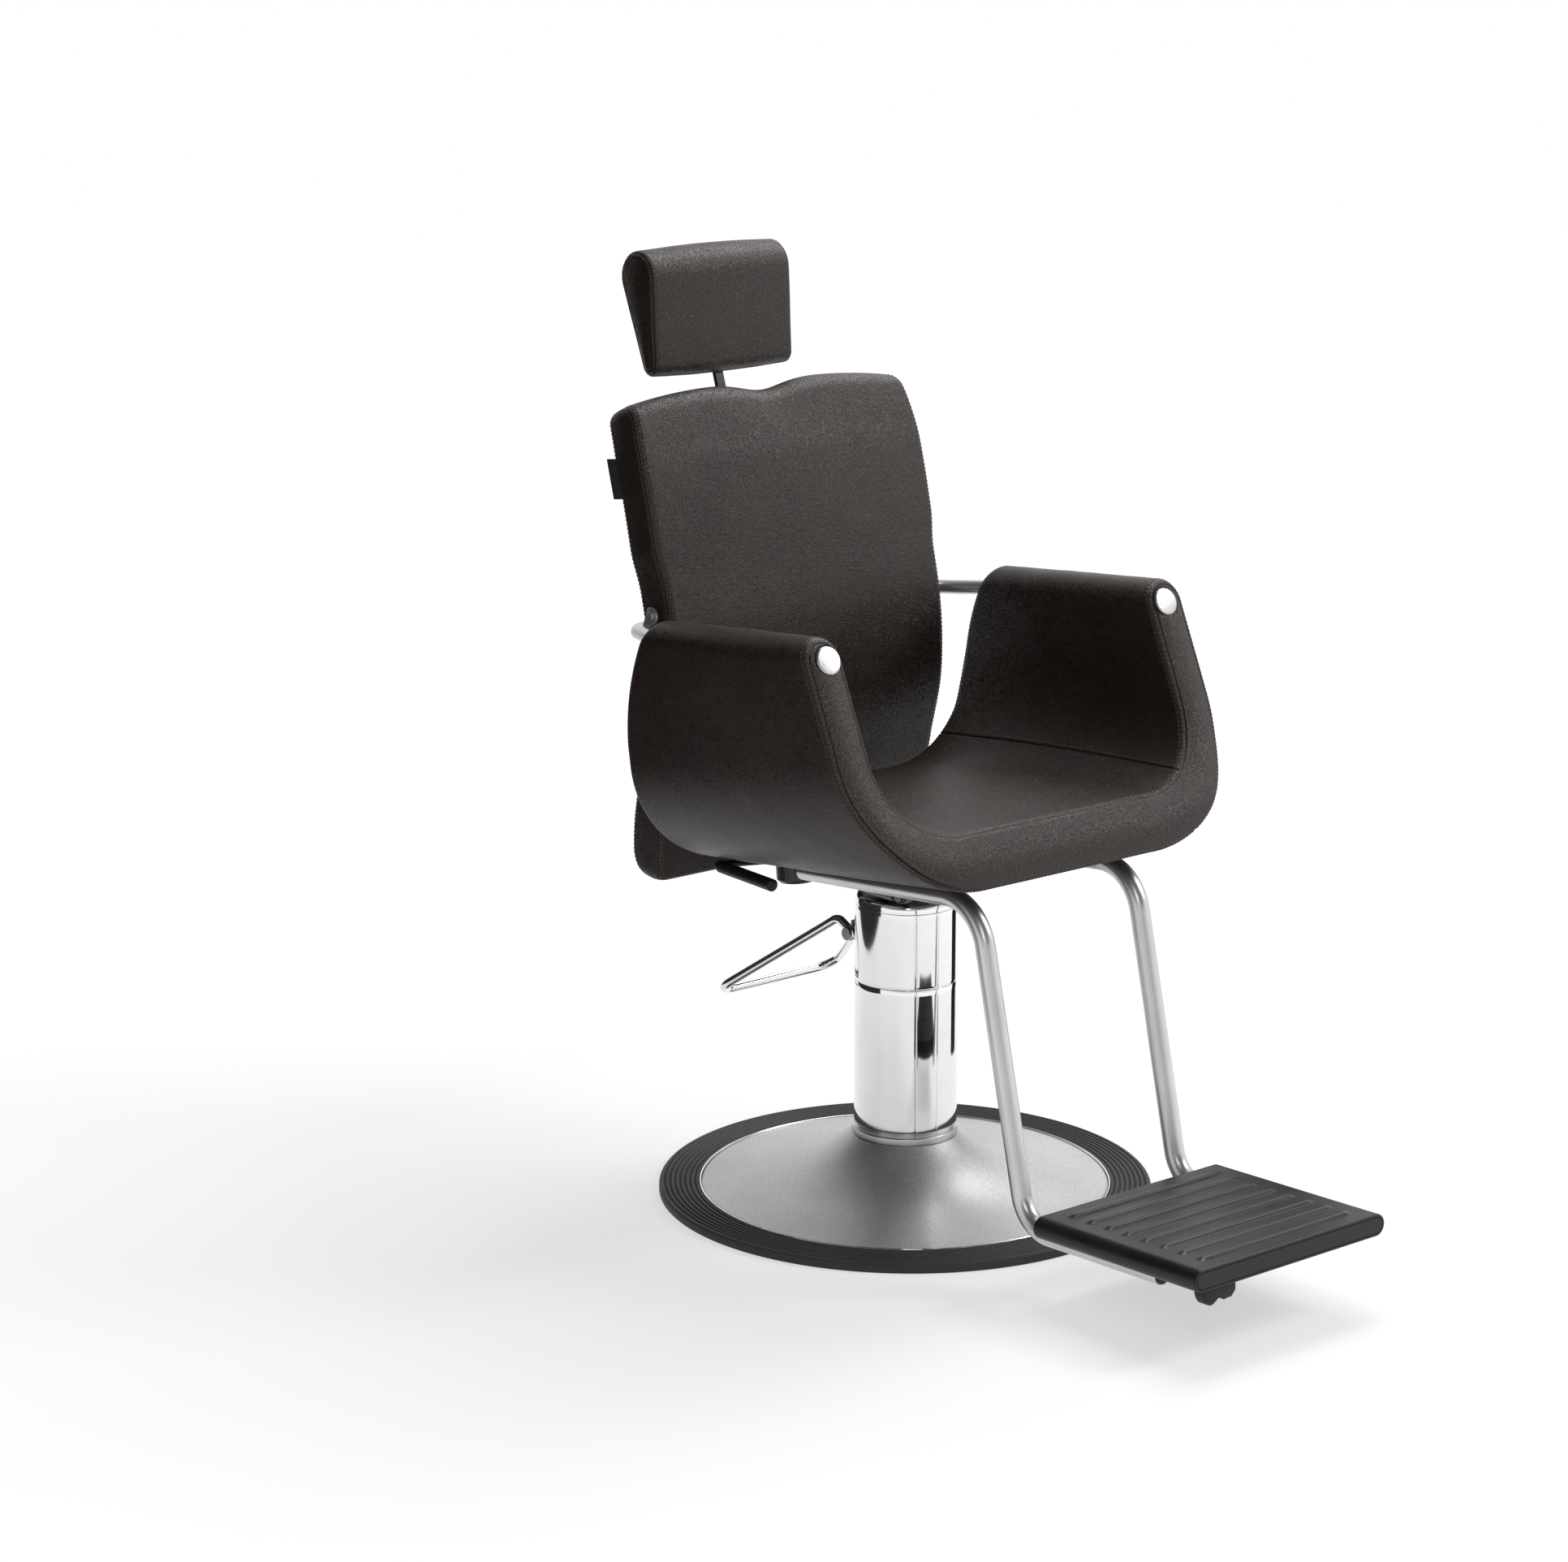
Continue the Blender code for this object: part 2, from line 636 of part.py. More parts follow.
def pump_head(mat, parent):
    """Pump block clamped round the cylinder, with the lever's yoke on its rear side."""
    ring = washer(CYLINDER_R + GAP, HEAD_R, HEAD_Z, HEAD_Z + HEAD_H, 24)
    head = add("pump_head", ring, mat, parent)
    wide, rear = YOKE_W / 2, LEVER_AXIS_Y + 0.011
    low, high = LEVER_AXIS_Z - YOKE_ROOT_H / 2, LEVER_AXIS_Z + YOKE_ROOT_H / 2
    weld(head, "yoke_root", block((-wide, wide), (CYLINDER_R + 0.004, YOKE_ROOT_Y), (low, high)))
    weld(head, "yoke_block", block((-wide + 0.0001, wide - 0.0001), (CYLINDER_R + 0.005, rear),
                                   (LEVER_AXIS_Z - YOKE_H / 2, LEVER_AXIS_Z + YOKE_H / 2)))
    slot = FINGER_T / 2 + GAP
    nose_y = LEVER_AXIS_Y - FINGER_L - PLUNGER_R - 0.001
    cut(head, "finger_slot", block((-slot, slot), (nose_y, YOKE_ROOT_Y + 0.003),
                                   (low - 0.01, LEVER_AXIS_Z + 0.0115)))
    cut(head, "boss_slot", block((-slot, slot), (YOKE_ROOT_Y, rear + 0.01),
                                 (low - 0.01, LEVER_AXIS_Z + 0.0095)))
    cut(head, "shaft_bore", rod((-YOKE_W, LEVER_AXIS_Y, LEVER_AXIS_Z),
                                (YOKE_W, LEVER_AXIS_Y, LEVER_AXIS_Z), SHAFT_R + GAP, 12))
    plunger_y = LEVER_AXIS_Y - FINGER_L
    cut(head, "plunger_bore", rod((0, plunger_y, LEVER_AXIS_Z), (0, plunger_y, high + 0.02),
                                  PLUNGER_R + GAP, 12))
    return head


def gland(mat, parent):
    low = CYLINDER_TOP_Z + GAP
    mesh = turned([(RAM_R + GAP, low), (CYLINDER_R, low), (CYLINDER_R, low + GLAND_H - 0.002),
                   (CYLINDER_R - 0.002, low + GLAND_H), (RAM_R + GAP, low + GLAND_H)], 24)
    return add("gland_nut", mesh, mat, parent)


def open_yoke_slot(upper):
    """Window in the upper casing that the pump's yoke comes out of."""
    side = YOKE_W / 2 + 2 * GAP
    reach = YOKE_H / 2 + 2 * GAP
    cut(upper, "yoke_window", block((-side, side), (COLUMN_R / 2, 2 * COLUMN_R),
                                    (LEVER_AXIS_Z - reach, LEVER_AXIS_Z + reach)))


# ---------------------------------------------------------------- pump lever
def lever_loop(mat, frame):
    """Foot lever: one bar bent into a loop, with an eye on each end.  In the lever's frame."""
    eye_x = YOKE_W / 2 + 4 * GAP + LEVER_EYE_L / 2
    foot_x = LEVER_W / 2
    corners = [(-eye_x, 0.004, 0.003), (-eye_x - 0.003, 0.022, 0.015),
               (-foot_x, LEVER_REACH, -LEVER_DROP), (foot_x, LEVER_REACH, -LEVER_DROP),
               (eye_x + 0.003, 0.022, 0.015), (eye_x, 0.004, 0.003)]
    route = rounded_route(corners, (0.012, 0.022, 0.022, 0.012), radians(18))
    loop = add("pump_lever", tube(route, LEVER_ROD_R, facets=10), mat, frame)
    for side, x in (("right", -eye_x), ("left", eye_x)):
        weld(loop, "lever_eye_" + side, rod((x - LEVER_EYE_L / 2, 0, 0),
                                            (x + LEVER_EYE_L / 2, 0, 0), LEVER_EYE_R))
    cut(loop, "lever_eye_bores", rod((-2 * eye_x, 0, 0), (2 * eye_x, 0, 0), SHAFT_R + GAP, 12))
    return loop


def lever_shaft(mat, frame):
    half = YOKE_W / 2 + 5 * GAP + LEVER_EYE_L
    shaft = rod((-half, 0, 0), (half, 0, 0), SHAFT_R, 12)
    ends = mirrored_pair(lambda: rod((half, 0, 0), (half + 0.003, 0, 0), 1.6 * SHAFT_R, 12))
    obj = add("lever_shaft", shaft, mat, frame)
    weld(obj, "shaft_heads", ends)
    return obj


def lever_finger(mat, frame):
    """Finger on the shaft, inside the yoke, whose round nose lifts the pump's plunger."""
    half = FINGER_T / 2
    finger = add("lever_finger", rod((-half, 0, 0), (half, 0, 0), 0.0088, 16), mat, frame)
    arm = block((-half + 0.0001, half - 0.0001), (-FINGER_L, 0.0),
                (-1.8 * FINGER_NOSE_R, -0.6 * FINGER_NOSE_R))
    weld(finger, "finger_arm", arm)
    weld(finger, "finger_nose", rod((-half, -FINGER_L, -FINGER_NOSE_R),
                                    (half, -FINGER_L, -FINGER_NOSE_R), FINGER_NOSE_R))
    cut(finger, "finger_bore", rod((-FINGER_T, 0, 0), (FINGER_T, 0, 0), SHAFT_R + GAP, 12))
    return finger


def pump_plunger(mat, frame):
    high = YOKE_ROOT_H / 2 + 0.004
    return add("pump_plunger", rod((0, 0, GAP), (0, 0, high), PLUNGER_R, 12), mat, frame)


# ---------------------------------------------------------------- ram and swivel
def ram(mat, frame):
    """Ram of the pump, in the ram's frame, whose origin is at its foot."""
    length = RAM_TOP_Z - RAM_FOOT_Z
    mesh = solid_turned([(RAM_R - 0.002, 0.0), (RAM_R, 0.002), (RAM_R, length - 0.001),
                         (RAM_R - 0.001, length)], 24)
    return add("ram", mesh, mat, frame)


def ram_piston_ring(mat, frame):
    mesh = washer(RAM_R + GAP, RAM_R + 0.0035, 0.004, 0.014, 24)
    return add("piston_ring", mesh, mat, frame)


def thrust_washer(mat, frame):
    low = RAM_TOP_Z - RAM_FOOT_Z + GAP
    return add("thrust_washer", solid_turned([(RAM_R - 0.001, low), (RAM_R - 0.001,
                                                                     low + WASHER_T)], 24),
               mat, frame)


def into_seat(mesh):
    """Takes a mesh from the chair's frame into the seat frame."""
    return moved(mesh, Matrix.Rotation(SEAT_TILT, 4, "X") @ Matrix.Translation((0, 0, -SEAT_Z)))


def swivel_hub(mat, parent):
    """Upright socket on the ram's end; its flange leans with the seat plate."""
    under = PLATE_UNDER - GAP
    roof = RAM_TOP_Z + WASHER_T + 2 * GAP
    barrel = into_seat(solid_turned([(HUB_R - 0.002, HUB_FOOT_Z), (HUB_R, HUB_FOOT_Z + 0.002),
                                     (HUB_R, SEAT_Z + 0.01)], 24))
    hub = add("swivel_hub", barrel, mat, parent)
    span = 2 * HUB_FLANGE_R
    cut(hub, "hub_top_plane", block((-span, span), (-span, span),
                                    (under - HUB_FLANGE_T / 2, under + 0.05)))
    weld(hub, "hub_flange", solid_turned([(HUB_FLANGE_R, under - HUB_FLANGE_T),
                                          (HUB_FLANGE_R, under)], 24))
    cut(hub, "hub_bore", into_seat(rod((0, 0, HUB_FOOT_Z - 0.01), (0, 0, roof), RAM_R + GAP, 24)))
    weld(hub, "hub_screws", hub_screws(under - HUB_FLANGE_T))
    return hub


def hub_places():
    reach = 0.85 * HUB_FLANGE_R
    return [(reach * cos(a), reach * sin(a)) for a in (pi / 4 + k * pi / 2 for k in range(4))]


def hub_rods(radius, low, high):
    return joined([rod((x, y, low), (x, y, high), radius, 8) for x, y in hub_places()])


def hub_screws(face):
    """Four screws, heads down, through the hub's flange into the seat plate."""
    length = HUB_FLANGE_T + GAP + 0.8 * SEAT_PLATE_T
    flip = Matrix.Rotation(pi, 4, "X")
    return joined([moved(screw(SCREW_HEAD_R, SCREW_R, SCREW_R, length),
                         Matrix.Translation((x, y, face + GAP)) @ flip)
                   for x, y in hub_places()])


# ---------------------------------------------------------------- seat
def seat_plate(mat, parent):
    plate = add("seat_plate", block((-SEAT_PLATE_W / 2, SEAT_PLATE_W / 2),
                                    (-SEAT_PLATE_FRONT, SEAT_PLATE_REAR), (PLATE_UNDER, -GAP),
                                    0.002, 1), mat, parent)
    cut(plate, "seat_plate_holes", hub_rods(SCREW_R + GAP, 2 * PLATE_UNDER, 0.01))
    return plate


def tub_front(z):
    """Front of the tub at a height in the seat frame: a raked line with a swollen nose."""
    nose = NOSE * np.exp(-((z - SEAT_T / 2) / (0.85 * SEAT_T)) ** 2)
    return -(ARM_FRONT_Y + ARM_RAKE * (ARM_H - z) + nose)


def tub_rear(z):
    middle = ARM_H / 2
    if z > middle:
        return TUB_REAR_Y - 0.035 * ((z - middle) / (middle - 0.025)) ** 2
    return TUB_REAR_Y - TUB_REAR_TUCK * (middle - z) / middle


def tub_walls(u, s):
    """Outer and inner point of the tub's wall in front view, on its right-hand half.

    u runs 0..1 along the flat of the seat, 1..2 round the corner, 2..3 up the arm and 3..4
    over the arm's round top; s runs 0..1 from front to rear.
    """
    half, t = TUB_W / 2, ARM_T
    outer_r = TUB_OUTER_R_FRONT + (TUB_OUTER_R_REAR - TUB_OUTER_R_FRONT) * s
    inner_r = TUB_INNER_R_FRONT + (TUB_INNER_R_REAR - TUB_INNER_R_FRONT) * s
    if u <= 1:
        return (u * (half - outer_r), 0.0), (u * (half - t - inner_r), SEAT_T)
    if u <= 2:
        a = (u - 1) * pi / 2
        return ((half - outer_r + outer_r * sin(a), outer_r - outer_r * cos(a)),
                (half - t - inner_r + inner_r * sin(a), SEAT_T + inner_r - inner_r * cos(a)))
    if u <= 3:
        f = u - 2
        return ((half, outer_r + (ARM_AXIS_H - outer_r) * f),
                (half - t, SEAT_T + inner_r + (ARM_AXIS_H - SEAT_T - inner_r) * f))
    b = (u - 3) * pi / 2
    rise = ARM_AXIS_H + t / 2 * sin(b)
    return (ARM_X + t / 2 * cos(b), rise), (ARM_X - t / 2 * cos(b), rise)


def tub_loop(u, side):
    """Closed section of the tub across its wall: front band, inside, rear band, outside."""
    outer, inner = tub_walls(u, 0.5)
    thick = hypot(outer[0] - inner[0], outer[1] - inner[1])
    depth = tub_rear(outer[1]) - tub_front(outer[1])
    w = min(0.35, TUB_EDGE_R / thick)
    d = TUB_EDGE_R / depth
    path = [(w, 0, 0), (0.5, 0, -0.003), (1 - w, 0, 0), (1 - 0.3 * w, 0.3 * d, 0), (1, d, 0)]
    path += [(1, s, 0) for s in (0.22, 0.4, 0.6, 0.78)]
    path += [(1, 1 - d, 0), (1 - 0.3 * w, 1 - 0.3 * d, 0), (1 - w, 1, 0), (0.5, 1, 0.003),
             (w, 1, 0), (0.3 * w, 1 - 0.3 * d, 0), (0, 1 - d, 0)]
    path += [(0, s, 0) for s in (0.7, 0.3)]
    path += [(0, d, 0), (0.3 * w, 0.3 * d, 0)]
    crown = SEAT_CROWN * (1.0 if u <= 1 else max(0.25, 1 - 0.75 * (u - 1))) * min(1, thick / ARM_T)
    loop = []
    for across, s, swell in path:
        outer, inner = tub_walls(u, s)
        out_x, out_z = (inner[0] - outer[0]) / thick, (inner[1] - outer[1]) / thick
        lift = crown * sin(pi * s) if across == 1 else 0.0
        x = outer[0] + (inner[0] - outer[0]) * across + out_x * lift
        z = outer[1] + (inner[1] - outer[1]) * across + out_z * lift
        beside = min(1.0, max(0.0, (x - BACK_HALF) / 0.025))
        y = tub_front(z) + (tub_rear(z) + TUB_WING * beside - tub_front(z)) * s + swell
        loop.append((side * x, y, z))
    return loop


def seat_tub(mat, parent):
    """Upholstered tub: the seat cushion runs round into both arms as one U."""
    top = [3.95, 3.75, 3.5, 3.25, 3.0]
    rise = [2.66, 2.33, 2.0]
    corner = [1.86, 1.71, 1.57, 1.43, 1.29, 1.14, 1.0]
    flat = [0.66, 0.33]
    half = top + rise + corner + flat
    rings = [tub_loop(u, -1) for u in half] + [tub_loop(0.0, 1)]
    rings += [tub_loop(u, 1) for u in half[::-1]]
    return add("seat_tub", loft(rings), mat, parent, smooth=60)


def cap_place():
    """Where an arm cap sits on the arm's front, and the lean of that face."""
    lean = atan2(ARM_RAKE, 1.0)
    rise = ARM_AXIS_H + 0.002
    return tub_front(rise) - 0.003, rise, lean


def arm_cap(name, x, tub, mat, parent):
    """Pale disc let into the front of an arm, over the end of the arm bow."""
    y, z, lean = cap_place()
    turn = (pi / 2 - lean, 0.0, 0.0)
    disc = solid_turned([(CAP_R - 0.001, 0.0), (CAP_R, 0.001), (CAP_R, CAP_T - 0.0012),
                         (CAP_R - 0.0015, CAP_T), (CAP_R / 2, CAP_T + 0.0006)], 20)
    seat = CAP_T - 0.0005
    back = (x, y + seat * cos(lean), z - seat * sin(lean))
    pocket = solid_turned([(CAP_R + 2 * GAP, -GAP), (CAP_R + 2 * GAP, 0.02)], 20)
    cut(tub, name + "_pocket", pocket, back, turn)
    return add(name, disc, mat, parent, back, turn)


# ---------------------------------------------------------------- arm bow and pivots
def bow_route(front_y):
    corners = [(ARM_X, front_y, ARM_AXIS_H), (ARM_X, BOW_KNEE_Y, ARM_AXIS_H),
               (BOW_CORNER_X, BOW_REAR_Y, ARM_AXIS_H)]
    corners += [(-x, y, z) for x, y, z in corners[::-1]]
    return rounded_route(corners, (0.10, BOW_BEND_R, BOW_BEND_R, 0.10), radians(15))


def arm_bow(tub, mat, parent):
    """Chrome bow: its legs run inside the arms, and it passes behind the back."""
    leg_y = tub_front(ARM_AXIS_H) + 0.060
    bow = add("arm_bow", tube(bow_route(leg_y), BOW_R, facets=10), mat, parent)
    cut(tub, "bow_bores", tube(bow_route(leg_y - GAP), BOW_R + GAP, facets=10))
    y, z = seat_frame(PIVOT_Y, PIVOT_Z)
    for name, side in (("lug_right", -1), ("lug_left", 1)):
        low, high = sorted((side * LUG_X, side * (LUG_X + LUG_T)))
        weld(bow, name + "_eye", rod((low, y, z), (high, y, z), LUG_R, 16))
        foot = ARM_AXIS_H - BOW_R / 2
        web = [(y - 0.8 * LUG_R, z), (y + 0.8 * LUG_R, z), (y + LUG_REACH, ARM_AXIS_H),
               (y + LUG_REACH, foot), (y + LUG_REACH / 4, foot)]
        weld(bow, name + "_web", slab(web, low + 0.0001, high - 0.0001))
    cut(bow, "lug_bores", rod((-BACK_W, y, z), (BACK_W, y, z), PIVOT_SCREW_R + GAP, 12))
    return bow


def pivot_screw(name, side, mat, frame):
    """Cross-head screw through a lug into the side of the back.  In the back's frame."""
    face = LUG_X + LUG_T + GAP
    depth = 0.030
    mesh = solid_turned([(PIVOT_SCREW_R, -depth), (PIVOT_SCREW_R, 0.0), (PIVOT_HEAD_R, 0.0),
                         (PIVOT_HEAD_R, 0.0016), (PIVOT_HEAD_R - 0.001, 0.0026)], 14)
    obj = add(name, mesh, mat, frame, (side * face, 0, 0), (0, side * pi / 2, 0))
    arm = PIVOT_HEAD_R * 0.62
    for k in range(2):
        slot = block((-arm, arm), (-0.0007, 0.0007), (0.0012, 0.01))
        cut(obj, f"{name}_slot_{k}", moved(slot, Matrix.Rotation(k * pi / 2, 4, "Z")),
            (side * face, 0, 0), (0, side * pi / 2, 0))
    return obj


def pivot_bush(name, side, mat, frame):
    low, high = BACK_HALF + GAP, LUG_X - GAP
    mesh = washer(PIVOT_SCREW_R + GAP, 2.1 * PIVOT_SCREW_R, low, high)
    return add(name, mesh, mat, frame, (0, 0, 0), (0, side * pi / 2, 0))


# ---------------------------------------------------------------- back
def back_sections(count):
    """Front line of the back with its tangents and the distance run along it."""
    line = smooth_line([(z, y) for z, y in FRONT_LINE], count)
    run = np.concatenate([[0], np.cumsum(np.hypot(*np.diff(line, axis=0).T))])
    slope = np.gradient(line, axis=0)
    slope /= np.hypot(slope[:, 0], slope[:, 1])[:, None]
    return line, slope, run


def round_off(distance, radius):
    """How far a rounded end of this radius draws in at a distance from the end."""
    if distance >= radius:
        return 0.0
    return radius - sqrt(radius ** 2 - (radius - distance) ** 2)


def back_loop(point, tangent, from_foot, from_top):
    """Closed section of the back, square to its front line."""
    above = min(1.0, max(0.0, (point[0] - 0.035) / 0.050))
    spread = BACK_SPREAD * above ** 2 * (3 - 2 * above)
    front = round_off(from_top, BACK_TOP_R) + round_off(from_foot, 0.006)
    rear = round_off(from_top, BACK_TOP_R) + round_off(from_foot, BACK_TAIL_R)
    side = 0.5 * round_off(from_top, 0.014) + 0.6 * round_off(from_foot, 0.014)
    narrow = BACK_TOP_NARROW * max(0.0, 1 - from_top / 0.10) ** 2
    half = BACK_HALF + spread - narrow - side
    thick = BACK_T - front - rear
    r = min(BACK_EDGE_R, 0.4 * thick)
    crown = BACK_CROWN * min(1, from_top / 0.08, from_foot / 0.05)
    path = [(half - r, 0), (half - 0.3 * r, 0.3 * r), (half, r), (half, thick / 2),
            (half, thick - r), (half - 0.3 * r, thick - 0.3 * r), (half - r, thick),
            (0.5 * half, thick), (0, thick), (-0.5 * half, thick)]
    loop = path + [(-x, q) for x, q in path[:7][::-1]]
    loop += [(x * half, 0) for x in (-0.75, -0.4, 0.0, 0.4, 0.75)]
    normal_y, normal_z = tangent[0], -tangent[1]
    near_top = max(0.0, 1 - from_top / 0.06)
    ring = []
    for x, q in loop:
        swell = crown * (1 - (x / half) ** 2) if q == 0 else 0.0
        depth = front + q - swell
        arch = BACK_ARCH * (1 - abs(x / half) ** 3) - BACK_DIP * np.exp(-(x / (0.22 * half)) ** 2)
        ring.append((x, point[1] + normal_y * depth,
                     point[0] + normal_z * depth + near_top * arch))
    return ring


def back_pad(mat, frame):
    """Upholstered back with its lumbar curve, its tail reaching below the seat."""
    line, slope, run = back_sections(26)
    total = run[-1]
    ends = [0.0005, 0.004, 0.010, 0.018, 0.027]
    places = ends + list(np.linspace(0.045, total - 0.045, 13)) + [total - e for e in ends[::-1]]
    rings = []
    for place in places:
        point = [np.interp(place, run, line[:, k]) for k in (0, 1)]
        tangent = [np.interp(place, run, slope[:, k]) for k in (0, 1)]
        rings.append(back_loop(point, tangent, place, total - place))
    pad = add("back_pad", loft(rings), mat, frame, smooth=60)
    cut(pad, "pivot_holes", mirrored_pair(lambda: rod((BACK_HALF - 0.035, 0, 0),
                                                      (BACK_W, 0, 0), PIVOT_SCREW_R + GAP, 12)))
    return pad


def tail_bracket(pad, mat, frame):
    """Clevis on the foot of the back; its plate is let into the back's front face."""
    y, z = SPRING_REAR_Y - PIVOT_Y, SPRING_REAR_Z - PIVOT_Z
    line = smooth_line([(h, depth) for h, depth in FRONT_LINE], 60)
    face = np.interp(z, line[:, 0], line[:, 1])
    half = CHEEK_HALF + CHEEK_T + 0.008
    room = 2 * GAP
    cut(pad, "tail_bracket_pocket", block((SPRING_X - half - room, SPRING_X + half + room),
                                          (face - 0.03, face + GAP),
                                          (z - BRACKET_H / 2 - room, z + BRACKET_H / 2 + room)))
    bracket = add("tail_bracket", block((-half, half), (face - CHEEK_T - y, face - y),
                                        (-BRACKET_H / 2, BRACKET_H / 2)), mat, frame,
                  (SPRING_X, y, z))
    clevis_cheeks(bracket, "tail", cheek_outline(face - y - CHEEK_T / 2), (SPRING_X, y, z))
    return bracket


def cheek_outline(reach):
    """Side view of a cheek: round about the pin, and widening to its base at +Y."""
    outline = [(CHEEK_R * cos(a), CHEEK_R * sin(a)) for a in np.linspace(pi / 2, 3 * pi / 2, 9)]
    return outline + [(reach, 0.002 - BRACKET_H / 2), (reach, BRACKET_H / 2 - 0.002)]


def clevis_cheeks(bracket, name, outline, place):
    """Two cheeks with round ends about the pin at the object's origin, and the pin's bore."""
    cheeks = mirrored_pair(lambda: slab(outline, CHEEK_HALF, CHEEK_HALF + CHEEK_T))
    boolean(bracket, cutter(name + "_cheeks", cheeks, bracket.parent, place), "UNION")
    bore = rod((-0.05, 0, 0), (0.05, 0, 0), SPRING_PIN_R + GAP, 12)
    cut(bracket, name + "_pin_bore", bore, place)


def clevis_pin(name, mat, parent, place):
    """Pin with a head on one end and a clip on the other."""
    half = CHEEK_HALF + CHEEK_T + GAP
    pin = add(name, rod((-half, 0, 0), (half, 0, 0), SPRING_PIN_R, 12), mat, parent, place)
    ends = mirrored_pair(lambda: rod((half, 0, 0), (half + 0.0016, 0, 0), 1.5 * SPRING_PIN_R, 12))
    boolean(pin, cutter(name + "_ends", ends, parent, place), "UNION")
    return pin


def spring_bracket(mat, parent):
    """Clevis under the seat plate that holds the front of the gas spring."""
    y, z = seat_frame(SPRING_FRONT_Y, SPRING_FRONT_Z)
    top = PLATE_UNDER - GAP - z
    half = CHEEK_HALF + CHEEK_T + 0.008
    place = (SPRING_X, y, z)
    bracket = add("spring_bracket", block((-half, half), (-BRACKET_H / 2, BRACKET_H / 2),
                                          (top - CHEEK_T, top)), mat, parent, place)
    cheek = [(-v, u) for u, v in cheek_outline(top - CHEEK_T / 2)]
    clevis_cheeks(bracket, "spring", cheek, place)
    return bracket


def spring_axis():
    run = Vector((0, SPRING_REAR_Y - SPRING_FRONT_Y, SPRING_REAR_Z - SPRING_FRONT_Z))
    return run.length, along(run)


def spring_cylinder(mat, frame):
    """Body of the gas spring from its front eye; bored for the rod and its piston."""
    start = SPRING_EYE_R + 0.004
    end = start + SPRING_BODY_L
    gland_z = end - 0.008
    bore = SPRING_R - 0.002
    turn = spring_axis()[1]
    body = turned([(0.001, start + 0.003), (0.001, start), (SPRING_R - 0.0015, start),
                   (SPRING_R, start + 0.0015), (SPRING_R, end - 0.0015),
                   (SPRING_R - 0.0015, end), (SPRING_ROD_R + GAP, end),
                   (SPRING_ROD_R + GAP, gland_z), (bore, gland_z), (bore, start + 0.003)], 12)
    cylinder = add("spring_cylinder", moved(body, turn), mat, frame)
    half = SPRING_EYE_W / 2
    eye = rod((-half, 0, 0), (half, 0, 0), SPRING_EYE_R, 14)
    weld(cylinder, "front_eye", eye)
    neck = block((-half, half), (-0.005, 0.005), (0.0, start + 0.001))
    weld(cylinder, "front_eye_neck", moved(neck, turn))
    cut(cylinder, "front_eye_bore", rod((-0.02, 0, 0), (0.02, 0, 0), SPRING_PIN_R + GAP, 12))
    return cylinder


def spring_rod(mat, frame):
    """Rod of the gas spring, from the piston inside the body to the rear eye."""
    length, turn = spring_axis()
    piston_z = SPRING_EYE_R + 0.004 + SPRING_STROKE + 0.012 - length
    piston_r = SPRING_R - 0.002 - GAP
    shaft = solid_turned([(piston_r, piston_z), (piston_r, piston_z + 0.008),
                          (SPRING_ROD_R, piston_z + 0.008), (SPRING_ROD_R, -0.006)])
    obj = add("spring_rod", moved(shaft, turn), mat, frame)
    half = SPRING_EYE_W / 2
    weld(obj, "rear_eye", rod((-half, 0, 0), (half, 0, 0), SPRING_EYE_R, 14))
    cut(obj, "rear_eye_bore", rod((-0.02, 0, 0), (0.02, 0, 0), SPRING_PIN_R + SPRING_SLACK, 14))
    return obj


# ---------------------------------------------------------------- headrest
def guide_place():
    """Middle of the headrest's guide, in the back's frame."""
    drop = GUIDE_DROP + GUIDE_L / 2
    return (HEAD_PAD_Y + HEAD_BAR_SET - PIVOT_Y - drop * sin(HEAD_BAR_LEAN),
            HEAD_PAD_Z - PIVOT_Z - drop * cos(HEAD_BAR_LEAN))


def stand_off():
    """From the bar's axis forward, square to the bar, to the rear face of the back."""
    line, slope, _ = back_sections(60)
    y, z = guide_place()
    rear_y = line[:, 1] + slope[:, 0] * BACK_T - y
    rear_z = line[:, 0] - slope[:, 1] * BACK_T - z
    ahead = rear_z * sin(HEAD_BAR_LEAN) - rear_y * cos(HEAD_BAR_LEAN)
    above = rear_y * sin(HEAD_BAR_LEAN) + rear_z * cos(HEAD_BAR_LEAN)
    return float(np.interp(0.0, above, ahead))


def guide_screw_places():
    x, z = GUIDE_PLATE_W / 2 - 0.009, GUIDE_PLATE_H / 2 - 0.009
    return [(side * x, rise * z) for side in (-1, 1) for rise in (-1, 1)]


